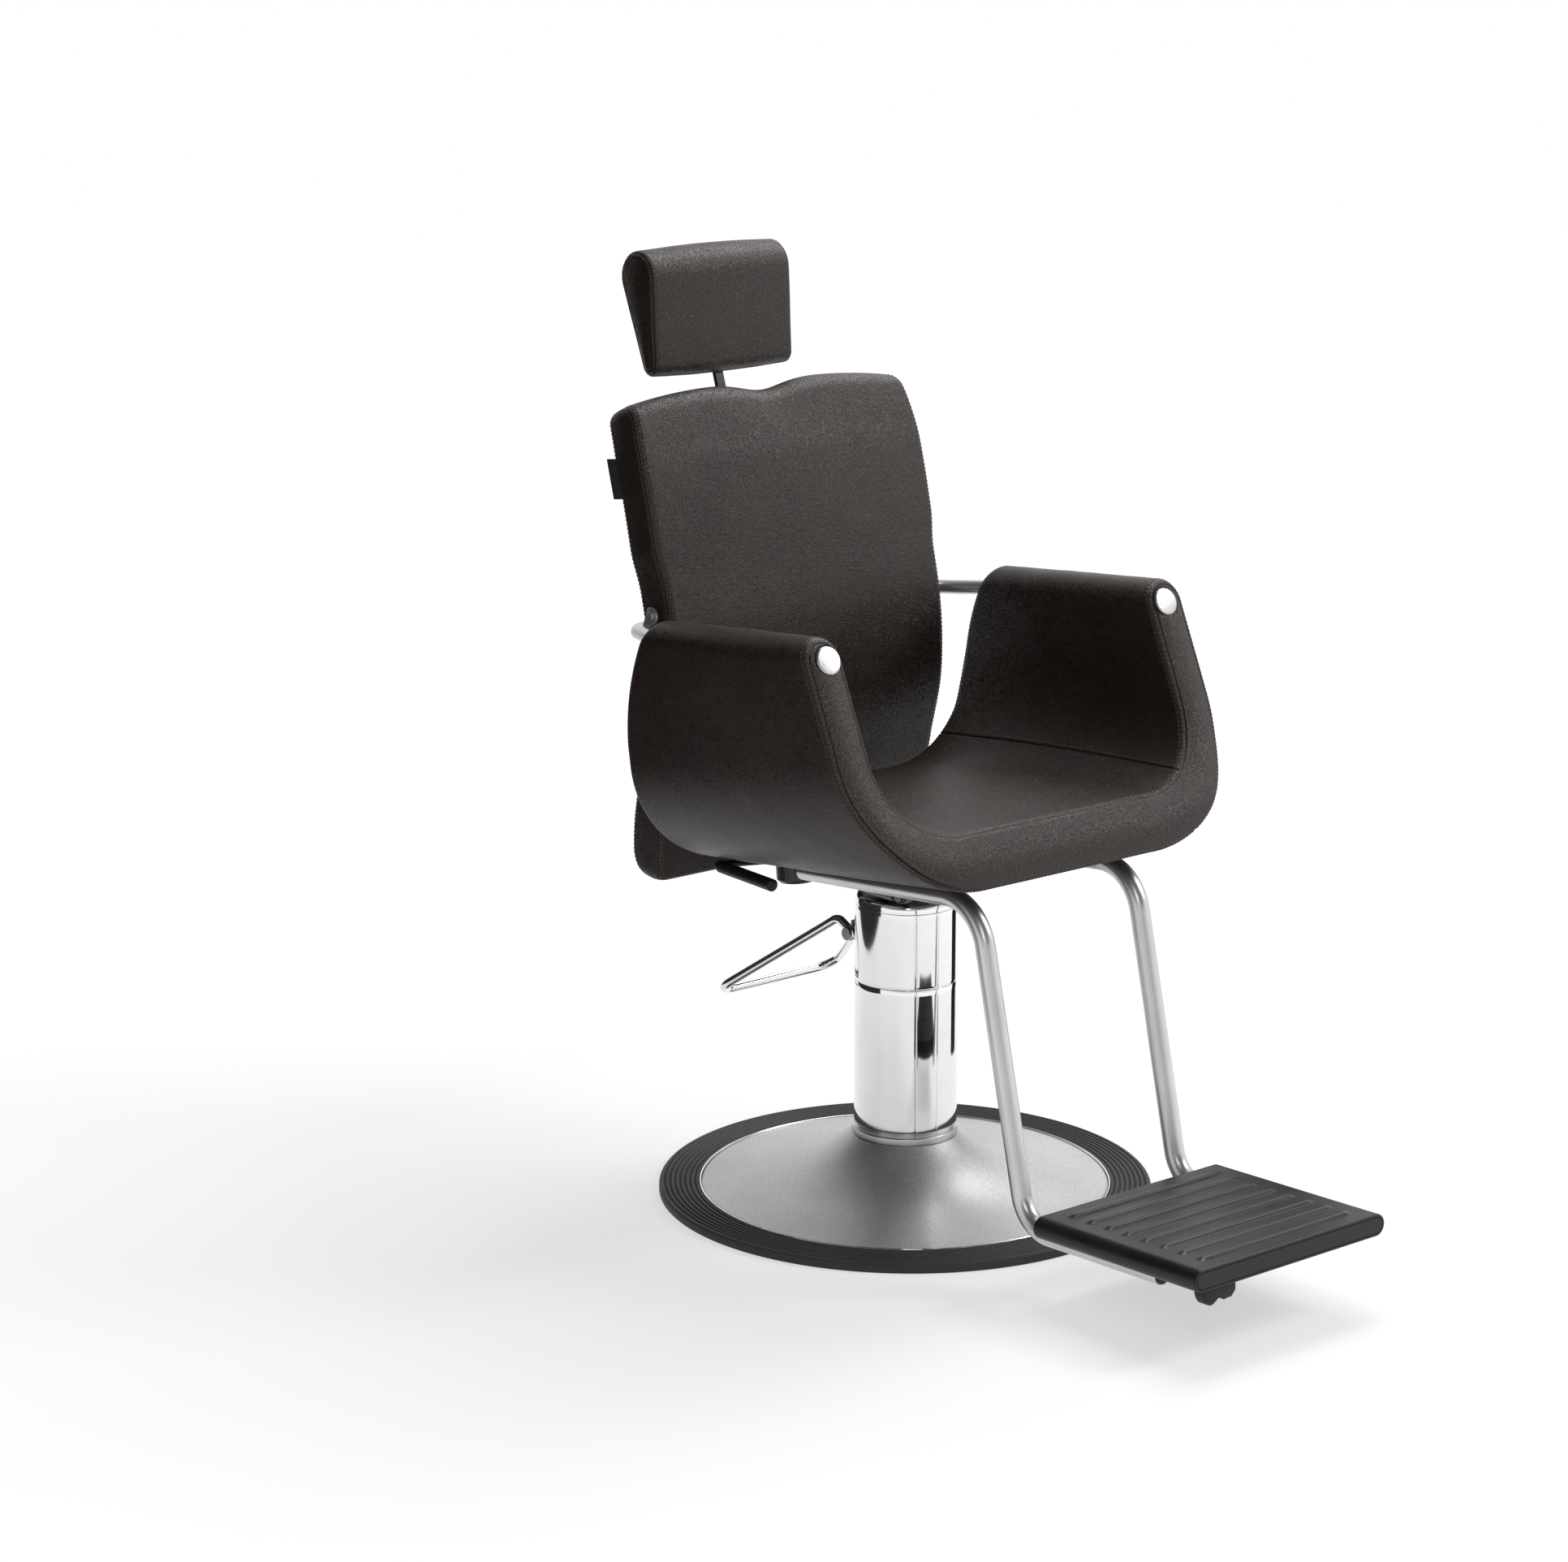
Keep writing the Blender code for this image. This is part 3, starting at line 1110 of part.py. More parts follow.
def headrest_guide(pad, mat, frame):
    """Sleeve for the headrest's bar on a stand-off, its plate let into the rear of the back."""
    y, z = guide_place()
    place, turn = (0, y, z), (-HEAD_BAR_LEAN, 0, 0)
    face = -stand_off() - 0.001
    half_w, half_h = GUIDE_PLATE_W / 2, GUIDE_PLATE_H / 2
    room = 2 * GAP
    cut(pad, "guide_pocket", block((-half_w - room, half_w + room), (face - GAP, face + 0.03),
                                   (-half_h - room, half_h + room)), place, turn)
    holes = joined([rod((x, face - 0.024, h), (x, face + 0.02, h), SCREW_R + GAP, 8)
                    for x, h in guide_screw_places()])
    cut(pad, "guide_screw_bores", holes, place, turn)
    guide = add("headrest_guide", block((-half_w, half_w), (face, face + GUIDE_WALL),
                                        (-half_h, half_h), 0.0012, 1), mat, frame, place, turn)
    reach = HEAD_BAR_T / 2 + GAP + GUIDE_WALL
    side = HEAD_BAR_W / 2 + GAP + GUIDE_WALL
    parts = [("guide_web", block((-0.007, 0.007), (face + GUIDE_WALL / 2, -reach + 0.001),
                                 (-GUIDE_L * 0.4, GUIDE_L * 0.4))),
             ("guide_sleeve", block((-side, side), (-reach, reach), (-GUIDE_L / 2, GUIDE_L / 2),
                                    0.0015, 1))]
    parts.append(("guide_screws", guide_screws(face + GUIDE_WALL - GAP)))
    for name, mesh in parts:
        boolean(guide, cutter(name, mesh, frame, place, turn), "UNION")
    cut(guide, "guide_channel", block((-HEAD_BAR_W / 2 - GAP, HEAD_BAR_W / 2 + GAP),
                                      (-HEAD_BAR_T / 2 - GAP, HEAD_BAR_T / 2 + GAP),
                                      (-GUIDE_L, GUIDE_L)), place, turn)
    return guide


def guide_screws(face):
    """Screws that hold the guide's plate to the back, given from the guide's middle."""
    screws = []
    for x, h in guide_screw_places():
        one = screw(SCREW_HEAD_R, SCREW_R, SCREW_R, 0.022)
        turn = Matrix.Rotation(-pi / 2, 4, "X")
        screws.append(moved(one, Matrix.Translation((x, face, h)) @ turn))
    return joined(screws)


def head_bar_block(clear, low, high):
    half_w, half_t = HEAD_BAR_W / 2 + clear, HEAD_BAR_T / 2 + clear
    return block((-half_w, half_w), (-half_t, half_t), (low, high))


def headrest_bar(pad, mat, frame):
    """Flat bar with notches along one edge; its upper end is held inside the pad."""
    place, turn = (0, HEAD_BAR_SET, 0), (-HEAD_BAR_LEAN, 0, 0)
    cut(pad, "headrest_bar_bore", head_bar_block(GAP, -0.05, HEAD_BAR_INSET + GAP), place, turn)
    bar = add("headrest_bar", head_bar_block(0.0, -HEAD_BAR_TAIL, HEAD_BAR_INSET), mat, frame,
              place, turn)
    edge = HEAD_BAR_W / 2
    notches = []
    for k in range(HEAD_NOTCHES):
        z = -HEAD_BAR_TAIL + 0.014 + k * HEAD_NOTCH_PITCH
        outline = [(edge + 0.002, z - 0.0045), (edge + 0.002, z + 0.0045), (edge - 0.0016, z)]
        ends = [[(x, y, h) for x, h in outline] for y in (-HEAD_BAR_T, HEAD_BAR_T)]
        notches.append(loft(ends))
    cut(bar, "headrest_notches", joined(notches), place, turn)
    return bar


def head_pad_ring(x, grow):
    """Side view of the headrest: two circles and their common tangents, grown by an offset."""
    low_r, high_r = HEAD_PAD_FOOT_R + grow, HEAD_PAD_TOP_R + grow
    length = hypot(HEAD_PAD_SET, HEAD_PAD_RISE)
    lean = atan2(HEAD_PAD_SET, HEAD_PAD_RISE)
    open_angle = acos((low_r - high_r) / length)
    points = []
    for k in range(12):
        a = -open_angle + 2 * open_angle * k / 11
        points.append((length + high_r * cos(a), high_r * sin(a)))
    rear = (low_r * cos(open_angle), low_r * sin(open_angle))
    points += [tuple(points[-1][i] + (rear[i] - points[-1][i]) * f for i in (0, 1))
               for f in (1 / 3, 2 / 3)]
    for k in range(8):
        a = open_angle + (2 * pi - 2 * open_angle) * k / 7
        points.append((low_r * cos(a), low_r * sin(a)))
    points += [tuple(points[-1][i] + (points[0][i] - points[-1][i]) * f for i in (0, 1))
               for f in (1 / 3, 2 / 3)]
    return [(x, up * sin(lean) + out * cos(lean), up * cos(lean) - out * sin(lean))
            for up, out in points]


def headrest_pad(mat, frame):
    half = HEAD_PAD_W / 2
    stations = [(half, -0.0065), (half - 0.0012, -0.0030), (half - 0.004, -0.0008),
                (half - 0.009, 0.0), (0.62 * half, 0.0018), (0.3 * half, 0.0027), (0.0, 0.0030)]
    stations += [(-x, grow) for x, grow in stations[:-1][::-1]]
    rings = [head_pad_ring(x, grow) for x, grow in stations]
    return add("headrest_pad", loft(rings), mat, frame, smooth=60)


# ---------------------------------------------------------------- footrest
def run_height(y):
    """Height of the tubes' axes under the footrest plate, in the chair's frame."""
    drop = (FOOT_PLATE_T + TUBE_R - TUBE_NEST) / cos(FOOT_PLATE_PITCH)
    return FOOT_PLATE_Z - drop - (y + FOOT_PLATE_Y) * tan(FOOT_PLATE_PITCH)


def tube_corners(x, toe_y=-TUBE_FRONT_Y):
    toe = seat_frame(toe_y, run_height(toe_y))
    turn = pi / 2 - TUBE_SHIN_LEAN + FOOT_PLATE_PITCH
    plate_rear = -FOOT_PLATE_Y + FOOT_PLATE_L / 2 * cos(FOOT_PLATE_PITCH)
    heel_y = plate_rear + 5 * GAP + TUBE_HEEL_R * tan(turn / 2)
    heel = seat_frame(heel_y, run_height(heel_y))
    knee_y = heel[0] + (TUBE_DROP - heel[1]) * tan(TUBE_SHIN_LEAN - SEAT_TILT)
    return [(x, TUBE_REAR_Y, TUBE_DROP), (x, knee_y, TUBE_DROP), (x, *heel), (x, *toe)]


def plate_point(x, ahead, above):
    """Seat-frame place of a point given from the middle of the footrest plate's top face."""
    y = -FOOT_PLATE_Y - ahead * cos(FOOT_PLATE_PITCH) + above * sin(FOOT_PLATE_PITCH)
    z = FOOT_PLATE_Z + ahead * sin(FOOT_PLATE_PITCH) + above * cos(FOOT_PLATE_PITCH)
    return (x, *seat_frame(y, z))


def on_plate(mesh):
    """Takes a mesh given from the middle of the footrest plate's top face to the seat frame."""
    turn = Matrix.Rotation(SEAT_TILT - FOOT_PLATE_PITCH, 4, "X")
    return moved(mesh, Matrix.Translation(plate_point(0, 0, 0)) @ turn)


def tube_route(corners):
    return rounded_route(corners, (TUBE_KNEE_R, TUBE_HEEL_R), radians(15))


def seat_studs(radius):
    """Studs under the seat plate that stand in the upper walls of the tubes."""
    top = PLATE_UNDER + SEAT_PLATE_T / 2
    return joined([rod((side * TUBE_X, y, PLATE_UNDER - STUD_L), (side * TUBE_X, y, top), radius, 8)
                   for side in (-1, 1) for y in STUD_Y])


def foot_studs(radius):
    """Studs under the footrest plate that stand in the upper walls of the tubes."""
    top = -FOOT_PLATE_T + TUBE_NEST
    return on_plate(joined([rod((side * TUBE_X, y, top - STUD_L), (side * TUBE_X, y, top + 0.004),
                                radius, 8) for side in (-1, 1) for y in (-0.030, 0.050)]))


def footrest_tube(name, side, mat, parent):
    route = tube_route(tube_corners(side * TUBE_X))
    obj = add(name, tube(route, TUBE_R, TUBE_WALL, TUBE_SIDES), mat, parent)
    cut(obj, name + "_seat_holes", seat_studs(STUD_R + GAP))
    cut(obj, name + "_foot_holes", foot_studs(STUD_R + GAP))
    return obj


def tube_plug(name, side, front, mat, parent):
    """Cap pushed into the front or rear end of a footrest tube."""
    bore = (TUBE_R - TUBE_WALL) * cos(pi / TUBE_SIDES) - GAP
    corners = [Vector(c) for c in tube_corners(side * TUBE_X)]
    end, inner = (corners[-1], corners[-2]) if front else (corners[0], corners[1])
    plug = solid_turned([(bore, -0.010), (bore, GAP), (TUBE_R, GAP), (TUBE_R - 0.0012, 0.0025)])
    return add(name, moved(plug, Matrix.Translation(end) @ along(end - inner)), mat, parent)


def footrest_plate(mat, parent):
    """Plate with round side edges and raised ribs across its top."""
    half_w, r = FOOT_PLATE_W / 2, FOOT_PLATE_T / 2
    outline = []
    for k in range(9):
        a = -pi / 2 + pi * k / 8
        outline.append((half_w - r + r * cos(a), -r + r * sin(a)))
    outline += [(-x, z) for x, z in outline[::-1]]
    ends = [[(x, y, z) for x, z in outline] for y in (-FOOT_PLATE_L / 2, FOOT_PLATE_L / 2)]
    plate = add("footrest_plate", on_plate(loft(ends)), mat, parent)
    ribs = []
    for k in range(FOOT_RIBS):
        y = (k - (FOOT_RIBS - 1) / 2) * FOOT_RIB_PITCH
        rib = block((-FOOT_RIB_L / 2, FOOT_RIB_L / 2), (y - FOOT_RIB_W / 2, y + FOOT_RIB_W / 2),
                    (-0.002, FOOT_RIB_H), 0.0009, 1)
        ribs.append(rib)
    weld(plate, "footrest_ribs", on_plate(joined(ribs)))
    for hand, side in (("right", -1), ("left", 1)):
        route = tube_route(tube_corners(side * TUBE_X, -TUBE_FRONT_Y - 0.004))
        cut(plate, "tube_groove_" + hand, tube(route, TUBE_R + 3 * GAP, facets=TUBE_SIDES))
    weld(plate, "foot_studs", foot_studs(STUD_R))
    return plate


def footrest_bumper(mat, parent):
    """Rubber block with two lobes, below the front right corner of the plate."""
    front = -FOOT_PLATE_L / 2 + 0.004
    top = -FOOT_PLATE_T - GAP
    rings = []
    for y, shrink in ((0.0, 0.93), (0.002, 1.0), (BUMPER_L - 0.002, 1.0), (BUMPER_L, 0.93)):
        rings.append([(-BUMPER_X + x * shrink, front + y, top - drop * shrink)
                      for x, drop in BUMPER_LOBES])
    return add("footrest_bumper", on_plate(loft(rings)), mat, parent)


def plate_screw(x, y):
    """Screw from below, through the seat plate into the tub."""
    return moved(screw(SCREW_HEAD_R, SCREW_R, SCREW_R, SEAT_PLATE_T + 0.020),
                 Matrix.Translation((x, y, PLATE_UNDER)) @ Matrix.Rotation(pi, 4, "X"))


def seat_screw_places():
    return [(side * SEAT_SCREW_X, y) for side in (-1, 1) for y in SEAT_SCREW_Y]


def seat_screws(tub, plate):
    """Screws from below, through the seat plate into the tub."""
    bores = joined([rod((x, y, 2 * PLATE_UNDER), (x, y, 0.022), SCREW_R + GAP, 8)
                    for x, y in seat_screw_places()])
    cut(tub, "tub_screw_bores", bores)
    weld(plate, "seat_screws", joined([plate_screw(x, y) for x, y in seat_screw_places()]))


# ---------------------------------------------------------------- recline release
def release_places():
    """Axis height, grip's rear end and grip's front end, in the seat frame."""
    z = PLATE_UNDER - RELEASE_DROP
    return z, Vector((GRIP_X, GRIP_REAR_Y, -0.008)), Vector((GRIP_X - GRIP_TOE,
                                                             GRIP_REAR_Y - GRIP_L, -0.0175))


def release_lever(mat, parent):
    """Bent rod: its shaft turns in a bearing under the seat, its arm carries the grip."""
    z, rear, front = release_places()
    corner_y = GRIP_REAR_Y + 0.010
    pull = (front - rear).normalized()
    elbow = rear - pull * 0.010
    route = rounded_route([(RELEASE_X, FLANGE_Y - 0.008, z), (RELEASE_X, corner_y, z),
                           tuple(elbow), tuple(rear + pull * 0.8 * GRIP_L)], (0.010, 0.009),
                          radians(18))
    local = Matrix.Translation((-RELEASE_X, -FLANGE_Y, -z))
    place = (RELEASE_X, FLANGE_Y, z)
    lever = add("release_lever", moved(tube(route, RELEASE_ROD_R, facets=12), local), mat,
                parent, place)
    flange = rod((0, -0.0035, 0), (0, -2 * GAP, 0), 1.7 * RELEASE_ROD_R)
    boolean(lever, cutter("release_flange", flange, parent, place), "UNION")
    return lever


def release_grip(mat, parent):
    """Rubber grip over the end of the release lever."""
    _, rear, front = release_places()
    length = (front - rear).length
    bore = RELEASE_ROD_R + GAP
    grip = turned([(bore, 0.0), (GRIP_R - 0.001, 0.0), (GRIP_R, 0.001), (GRIP_R, length - 0.001),
                   (GRIP_R - 0.001, length), (0.0006, length), (0.0006, 0.8 * length + 2 * GAP),
                   (bore, 0.8 * length + 2 * GAP)], 14)
    return add("release_grip", moved(grip, Matrix.Translation(rear) @ along(front - rear)),
               mat, parent)


def release_housing(mat, parent):
    """Round housing under the seat plate that the release lever turns in."""
    z, _, _ = release_places()
    low = PLATE_UNDER - HOUSING_H
    cup = solid_turned([(HOUSING_R - 0.004, low), (HOUSING_R, low + 0.004),
                        (HOUSING_R, PLATE_UNDER - GAP)], 24)
    housing = add("release_housing", moved(cup, Matrix.Translation((HOUSING_X, HOUSING_Y, 0))),
                  mat, parent)
    cut(housing, "housing_bore", rod((RELEASE_X, 0, z), (RELEASE_X, 0.2, z),
                                     RELEASE_ROD_R + GAP, 12))
    return housing


# ---------------------------------------------------------------- the chair
leather = material("brown_leather", (0.030, 0.019, 0.014), 0.42)
chrome = material("chrome", (0.80, 0.80, 0.82), 0.06, 1.0)
satin = material("satin_steel", (0.62, 0.62, 0.63), 0.30, 1.0)
silver = material("silver_cover", (0.58, 0.58, 0.58), 0.38, 0.9)
rubber = material("grey_rubber", (0.060, 0.062, 0.066), 0.60)
charcoal = material("charcoal_plastic", (0.035, 0.036, 0.038), 0.55)
black = material("black_plastic", (0.012, 0.012, 0.013), 0.42)
black_paint = material("black_paint", (0.020, 0.020, 0.022), 0.45)
steel = material("plain_steel", (0.45, 0.45, 0.46), 0.35, 1.0)
iron = material("dark_iron", (0.08, 0.08, 0.085), 0.50, 0.6)
pale = material("satin_cap", (0.70, 0.70, 0.70), 0.28, 0.8)
fastener = material("zinc_screws", (0.55, 0.55, 0.56), 0.32, 1.0)

base_frame = empty("base_frame", (0, 0, 0))
floor_plate(iron, base_frame)
base_cover(silver, base_frame)
base_trim(chrome, base_frame)
rubber_ring(rubber, base_frame)
foot_band(satin, base_frame)
casing("casing_lower", CASING_Z, CASING_SEAM_Z, chrome, base_frame)
upper_casing = casing("casing_upper", CASING_SEAM_Z + GAP, CASING_TOP_Z, chrome, base_frame)
open_yoke_slot(upper_casing)
casing_strip("strip_lower", CASING_Z, CASING_SEAM_Z, chrome, base_frame)
casing_strip("strip_upper", CASING_SEAM_Z + GAP, CASING_TOP_Z, chrome, base_frame)
collar(chrome, base_frame)
pump_cylinder(black_paint, base_frame)
pump_head(black_paint, base_frame)
gland(steel, base_frame)

lever_frame = empty("lever_frame", (0, LEVER_AXIS_Y, LEVER_AXIS_Z))
lever_loop(chrome, lever_frame)
lever_shaft(steel, lever_frame)
lever_finger(steel, lever_frame)
plunger_frame = empty("plunger_frame", (0, LEVER_AXIS_Y - FINGER_L, LEVER_AXIS_Z))
pump_plunger(steel, plunger_frame)

ram_frame = empty("ram_frame", (0, 0, RAM_FOOT_Z))
ram(steel, ram_frame)
ram_piston_ring(black, ram_frame)
thrust_washer(fastener, ram_frame)

seat = empty("seat_frame", (0, 0, SEAT_Z), -SEAT_TILT)
swivel_hub(black_paint, seat)
bottom_plate = seat_plate(black_paint, seat)
tub = seat_tub(leather, seat)
seat_screws(tub, bottom_plate)
arm_cap("arm_cap_right", CAP_SET - ARM_X, tub, pale, seat)
arm_cap("arm_cap_left", ARM_X - CAP_SET, tub, pale, seat)
arm_bow(tub, chrome, seat)
footrest_tube("footrest_tube_right", -1, satin, seat)
footrest_tube("footrest_tube_left", 1, satin, seat)
for end in ("rear", "front"):
    tube_plug(f"tube_plug_{end}_right", -1, end == "front", black, seat)
    tube_plug(f"tube_plug_{end}_left", 1, end == "front", black, seat)
weld(bottom_plate, "seat_studs", seat_studs(STUD_R))
footrest_plate(charcoal, seat)
footrest_bumper(black, seat)
spring_bracket(black_paint, seat)
clevis_pin("spring_pin", steel, seat, (SPRING_X, *seat_frame(SPRING_FRONT_Y, SPRING_FRONT_Z)))
release_housing(black_paint, seat)
release_lever(black, seat)
release_grip(black, seat)

back_frame = empty("back_frame", (0, PIVOT_Y, PIVOT_Z))
back = back_pad(leather, back_frame)
tail_bracket(back, black_paint, back_frame)
clevis_pin("tail_pin", steel, back_frame, (SPRING_X, SPRING_REAR_Y - PIVOT_Y,
                                           SPRING_REAR_Z - PIVOT_Z))
for label, hand in (("right", -1), ("left", 1)):
    pivot_screw("pivot_screw_" + label, hand, fastener, back_frame)
    pivot_bush("pivot_bush_" + label, hand, black, back_frame)
headrest_guide(back, black_paint, back_frame)

head_frame = empty("head_frame", (0, HEAD_PAD_Y, HEAD_PAD_Z))
head_pad = headrest_pad(leather, head_frame)
headrest_bar(head_pad, black, head_frame)

spring_front = empty("spring_front", (SPRING_X, SPRING_FRONT_Y, SPRING_FRONT_Z))
spring_cylinder(black_paint, spring_front)
spring_rear = empty("spring_rear", (SPRING_X, SPRING_REAR_Y, SPRING_REAR_Z))
spring_rod(steel, spring_rear)
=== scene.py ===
"""Looks of the hydraulic barber chair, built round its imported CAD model.

Metres, +Z up.  The origin is on the floor on the column's axis, the chair faces -Y, and the
sitter's left is +X.  Every new piece is an array of points from numpy, put into a mesh.
"""

import bmesh
import bpy
import numpy as np
from mathutils import Matrix, Vector


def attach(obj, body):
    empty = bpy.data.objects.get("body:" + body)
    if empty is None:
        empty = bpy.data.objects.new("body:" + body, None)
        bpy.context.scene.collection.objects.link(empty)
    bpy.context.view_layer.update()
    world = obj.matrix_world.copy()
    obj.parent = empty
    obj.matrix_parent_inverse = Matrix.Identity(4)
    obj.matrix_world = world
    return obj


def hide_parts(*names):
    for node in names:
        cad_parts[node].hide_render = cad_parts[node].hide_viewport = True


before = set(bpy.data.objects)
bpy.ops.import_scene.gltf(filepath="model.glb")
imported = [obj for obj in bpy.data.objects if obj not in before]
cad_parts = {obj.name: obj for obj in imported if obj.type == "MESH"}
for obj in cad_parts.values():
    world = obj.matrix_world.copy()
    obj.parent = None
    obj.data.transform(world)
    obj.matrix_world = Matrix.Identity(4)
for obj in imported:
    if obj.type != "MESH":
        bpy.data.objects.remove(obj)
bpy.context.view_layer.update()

PI = np.pi

# ---------------------------------------------------------------- sizes, as in the CAD source
GAP = 0.0003
RING_R, RING_W, RING_H, RING_GROOVES, GROOVE_D = 0.300, 0.049, 0.0115, 7, 0.0013
TRIM_W, SHEET, COVER_EDGE_Z, FOOT_Z = 0.0020, 0.0020, 0.0105, 0.0735
COLUMN_R, CASING_T, BAND_H = 0.0626, 0.0015, 0.0085
CASING_SEAM_Z, CASING_TOP_Z = 0.268, 0.362
COLLAR_R, COLLAR_MOUTH_R = 0.014, 0.046
STRIP_ARC, STRIP_TURN = 0.028, np.radians(-17.8)
LEVER_AXIS_Y, LEVER_AXIS_Z, LEVER_ROD_R = 0.074, 0.311, 0.0058
LEVER_REACH, LEVER_DROP, LEVER_W = 0.1765, 0.102, 0.200
LEVER_SHOULDER = (0.003, 0.022, 0.015)    # from its shaft: out past the eye, back, up
LEVER_EYE_R, LEVER_EYE_L, SHAFT_R, YOKE_W, YOKE_H = 0.0095, 0.0135, 0.005, 0.030, 0.024
SEAT_TILT, SEAT_Z, SEAT_PLATE_T = np.radians(5.0), 0.434, 0.005
TUB_W, ARM_T, SEAT_T, ARM_H = 0.590, 0.055, 0.065, 0.297
OUTER_R_FRONT, OUTER_R_REAR = 0.160, 0.125
INNER_R_FRONT, INNER_R_REAR = 0.090, 0.140
TUB_EDGE_R, SEAT_CROWN = 0.009, 0.010
ARM_FRONT_Y, ARM_RAKE, NOSE = 0.177, 0.345, 0.018
TUB_REAR_Y, TUB_WING, TUB_REAR_TUCK = 0.151, 0.005, 0.011
CAP_R, CAP_T, CAP_SET = 0.0165, 0.0035, 0.004
BOW_R, BOW_REAR_Y, BOW_KNEE_Y, BOW_BEND_R = 0.009, 0.2305, 0.100, 0.035
PIVOT_Y, PIVOT_Z = 0.2114, 0.7068
LUG_R, LUG_T, LUG_REACH, PIVOT_SCREW_R = 0.0105, 0.0035, 0.021, 0.0038
BACK_W, BACK_SPREAD, BACK_TOP_NARROW, BACK_T = 0.430, 0.0055, 0.0095, 0.056
BACK_EDGE_R, BACK_CROWN, BACK_TAIL_R, BACK_TOP_R = 0.010, 0.006, 0.034, 0.023
BACK_ARCH, BACK_DIP = 0.013, 0.012
BACK_LINE = np.array([          # side view of its front face: height above the pivot, distance
    (-0.328, -0.0040), (-0.268, -0.0050), (-0.205, -0.0180), (-0.120, -0.0370),
    (-0.030, -0.0340), (0.060, -0.0140), (0.150, 0.0080), (0.205, 0.0270), (0.250, 0.0490)])
HEAD_PAD_W, HEAD_PAD_TOP_R, HEAD_PAD_FOOT_R = 0.220, 0.032, 0.0140
HEAD_PAD_RISE, HEAD_PAD_SET, HEAD_PAD_Y, HEAD_PAD_Z = 0.1045, 0.023, 0.3575, 0.9795
TUBE_R, TUBE_X, TUBE_REAR_Y, TUBE_KNEE_R, TUBE_HEEL_R = 0.0119, 0.1221, 0.049, 0.062, 0.047
TUBE_NEST, TUBE_SHIN_LEAN, TUBE_FRONT_Y = 0.0095, np.radians(13.3), 0.565
FOOT_PLATE_W, FOOT_PLATE_L, FOOT_PLATE_T = 0.3012, 0.2554, 0.026
FOOT_PLATE_Y, FOOT_PLATE_Z, FOOT_PLATE_PITCH = 0.5151, 0.1065, np.radians(2.0)
FOOT_RIBS, FOOT_RIB_PITCH, FOOT_RIB_W, FOOT_RIB_H, FOOT_RIB_L = 8, 0.0287, 0.009, 0.0018, 0.244
BUMPER_X, BUMPER_L = 0.1085, 0.016
BUMPER_LOBES = np.array([
    (-0.0255, 0.0000), (-0.0240, 0.0090), (-0.0200, 0.0160), (-0.0150, 0.0190),
    (-0.0100, 0.0180), (-0.0065, 0.0140), (-0.0035, 0.0118), (0.0010, 0.0118),
    (0.0035, 0.0148), (0.0070, 0.0170), (0.0110, 0.0165), (0.0145, 0.0162),
    (0.0190, 0.0160), (0.0225, 0.0125), (0.0255, 0.0090), (0.0255, 0.0000)])
RELEASE_X, RELEASE_DROP, RELEASE_ROD_R = -0.100, 0.012, 0.0045
GRIP_R, GRIP_L, GRIP_X, GRIP_REAR_Y, GRIP_TOE = 0.0075, 0.106, -0.197, 0.113, 0.007
FLANGE_Y = 0.0525

TRIM_OUT_R = RING_R - RING_W - GAP
COVER_R = TRIM_OUT_R - TRIM_W - GAP
BAND_Z = FOOT_Z + GAP
CASING_Z = BAND_Z + BAND_H + GAP
PLATE_UNDER = -(GAP + SEAT_PLATE_T)
TUBE_DROP = PLATE_UNDER - GAP - TUBE_R
ARM_X = (TUB_W - ARM_T) / 2
ARM_AXIS_H = ARM_H - ARM_T / 2
BACK_HALF = BACK_W / 2
LUG_X = BACK_HALF + 0.0028

# finer forms than the CAD source has
COVER_ROLL, COVER_ROLL_H = 0.0055, 0.0034    # the cover's rolled rim
COLLAR_SKIRT, COLLAR_LIP, SPIGOT_L = 0.003, 0.0016, 0.010
LEVER_ROOT = (0.004, 0.003)      # end of the bar in its eye, back and up from the shaft's axis
RING_LIP = 0.0035
GROOVE_SHOWN = 1.9 * GROOVE_D    # deeper than the real groove, so that it shows
RIB_SHOWN_H, RIB_SHOWN_W, RIB_FADE = 1.5 * FOOT_RIB_H, 1.45 * FOOT_RIB_W, 0.012
PLATE_DRAW = 0.0018              # round ends of the footrest plate
GRIP_REAR_Z, GRIP_FRONT_Z = -0.008, -0.0175
CAP_RISE, CAP_EDGE, CAP_DOME = 0.002, 0.0012, 0.0004
BOW_START, LUG_BEVEL = 0.060, 0.0005         # the bow starts so far behind the arm's front
SEAM_DEPTH = 0.0016              # valley of a seam
STITCH_DENT = 0.00035            # leather pulled down along a row of stitches
STITCH_PITCH, STITCH_L, THREAD_R = 0.0052, 0.0040, 0.00042
TAB_LOW_Z, TAB_HIGH_Z, TAB_REACH, TAB_SUNK, TAB_T = 0.8395, 0.8860, 0.0205, 0.0035, 0.0009


# ---------------------------------------------------------------- frames of reference
def from_seat(points):
    """Seat frame to chair frame: y' = y cos T + z sin T, z' = SEAT_Z - y sin T + z cos T."""
    x, y, z = np.moveaxis(np.asarray(points, float), -1, 0)
    c, s = np.cos(SEAT_TILT), np.sin(SEAT_TILT)
    return np.stack([x, y * c + z * s, SEAT_Z - y * s + z * c], -1)


def to_seat(y, z):
    """The seat frame's (y, z) of a point given in the chair's frame."""
    dz = z - SEAT_Z
    return (y * np.cos(SEAT_TILT) - dz * np.sin(SEAT_TILT),
            y * np.sin(SEAT_TILT) + dz * np.cos(SEAT_TILT))


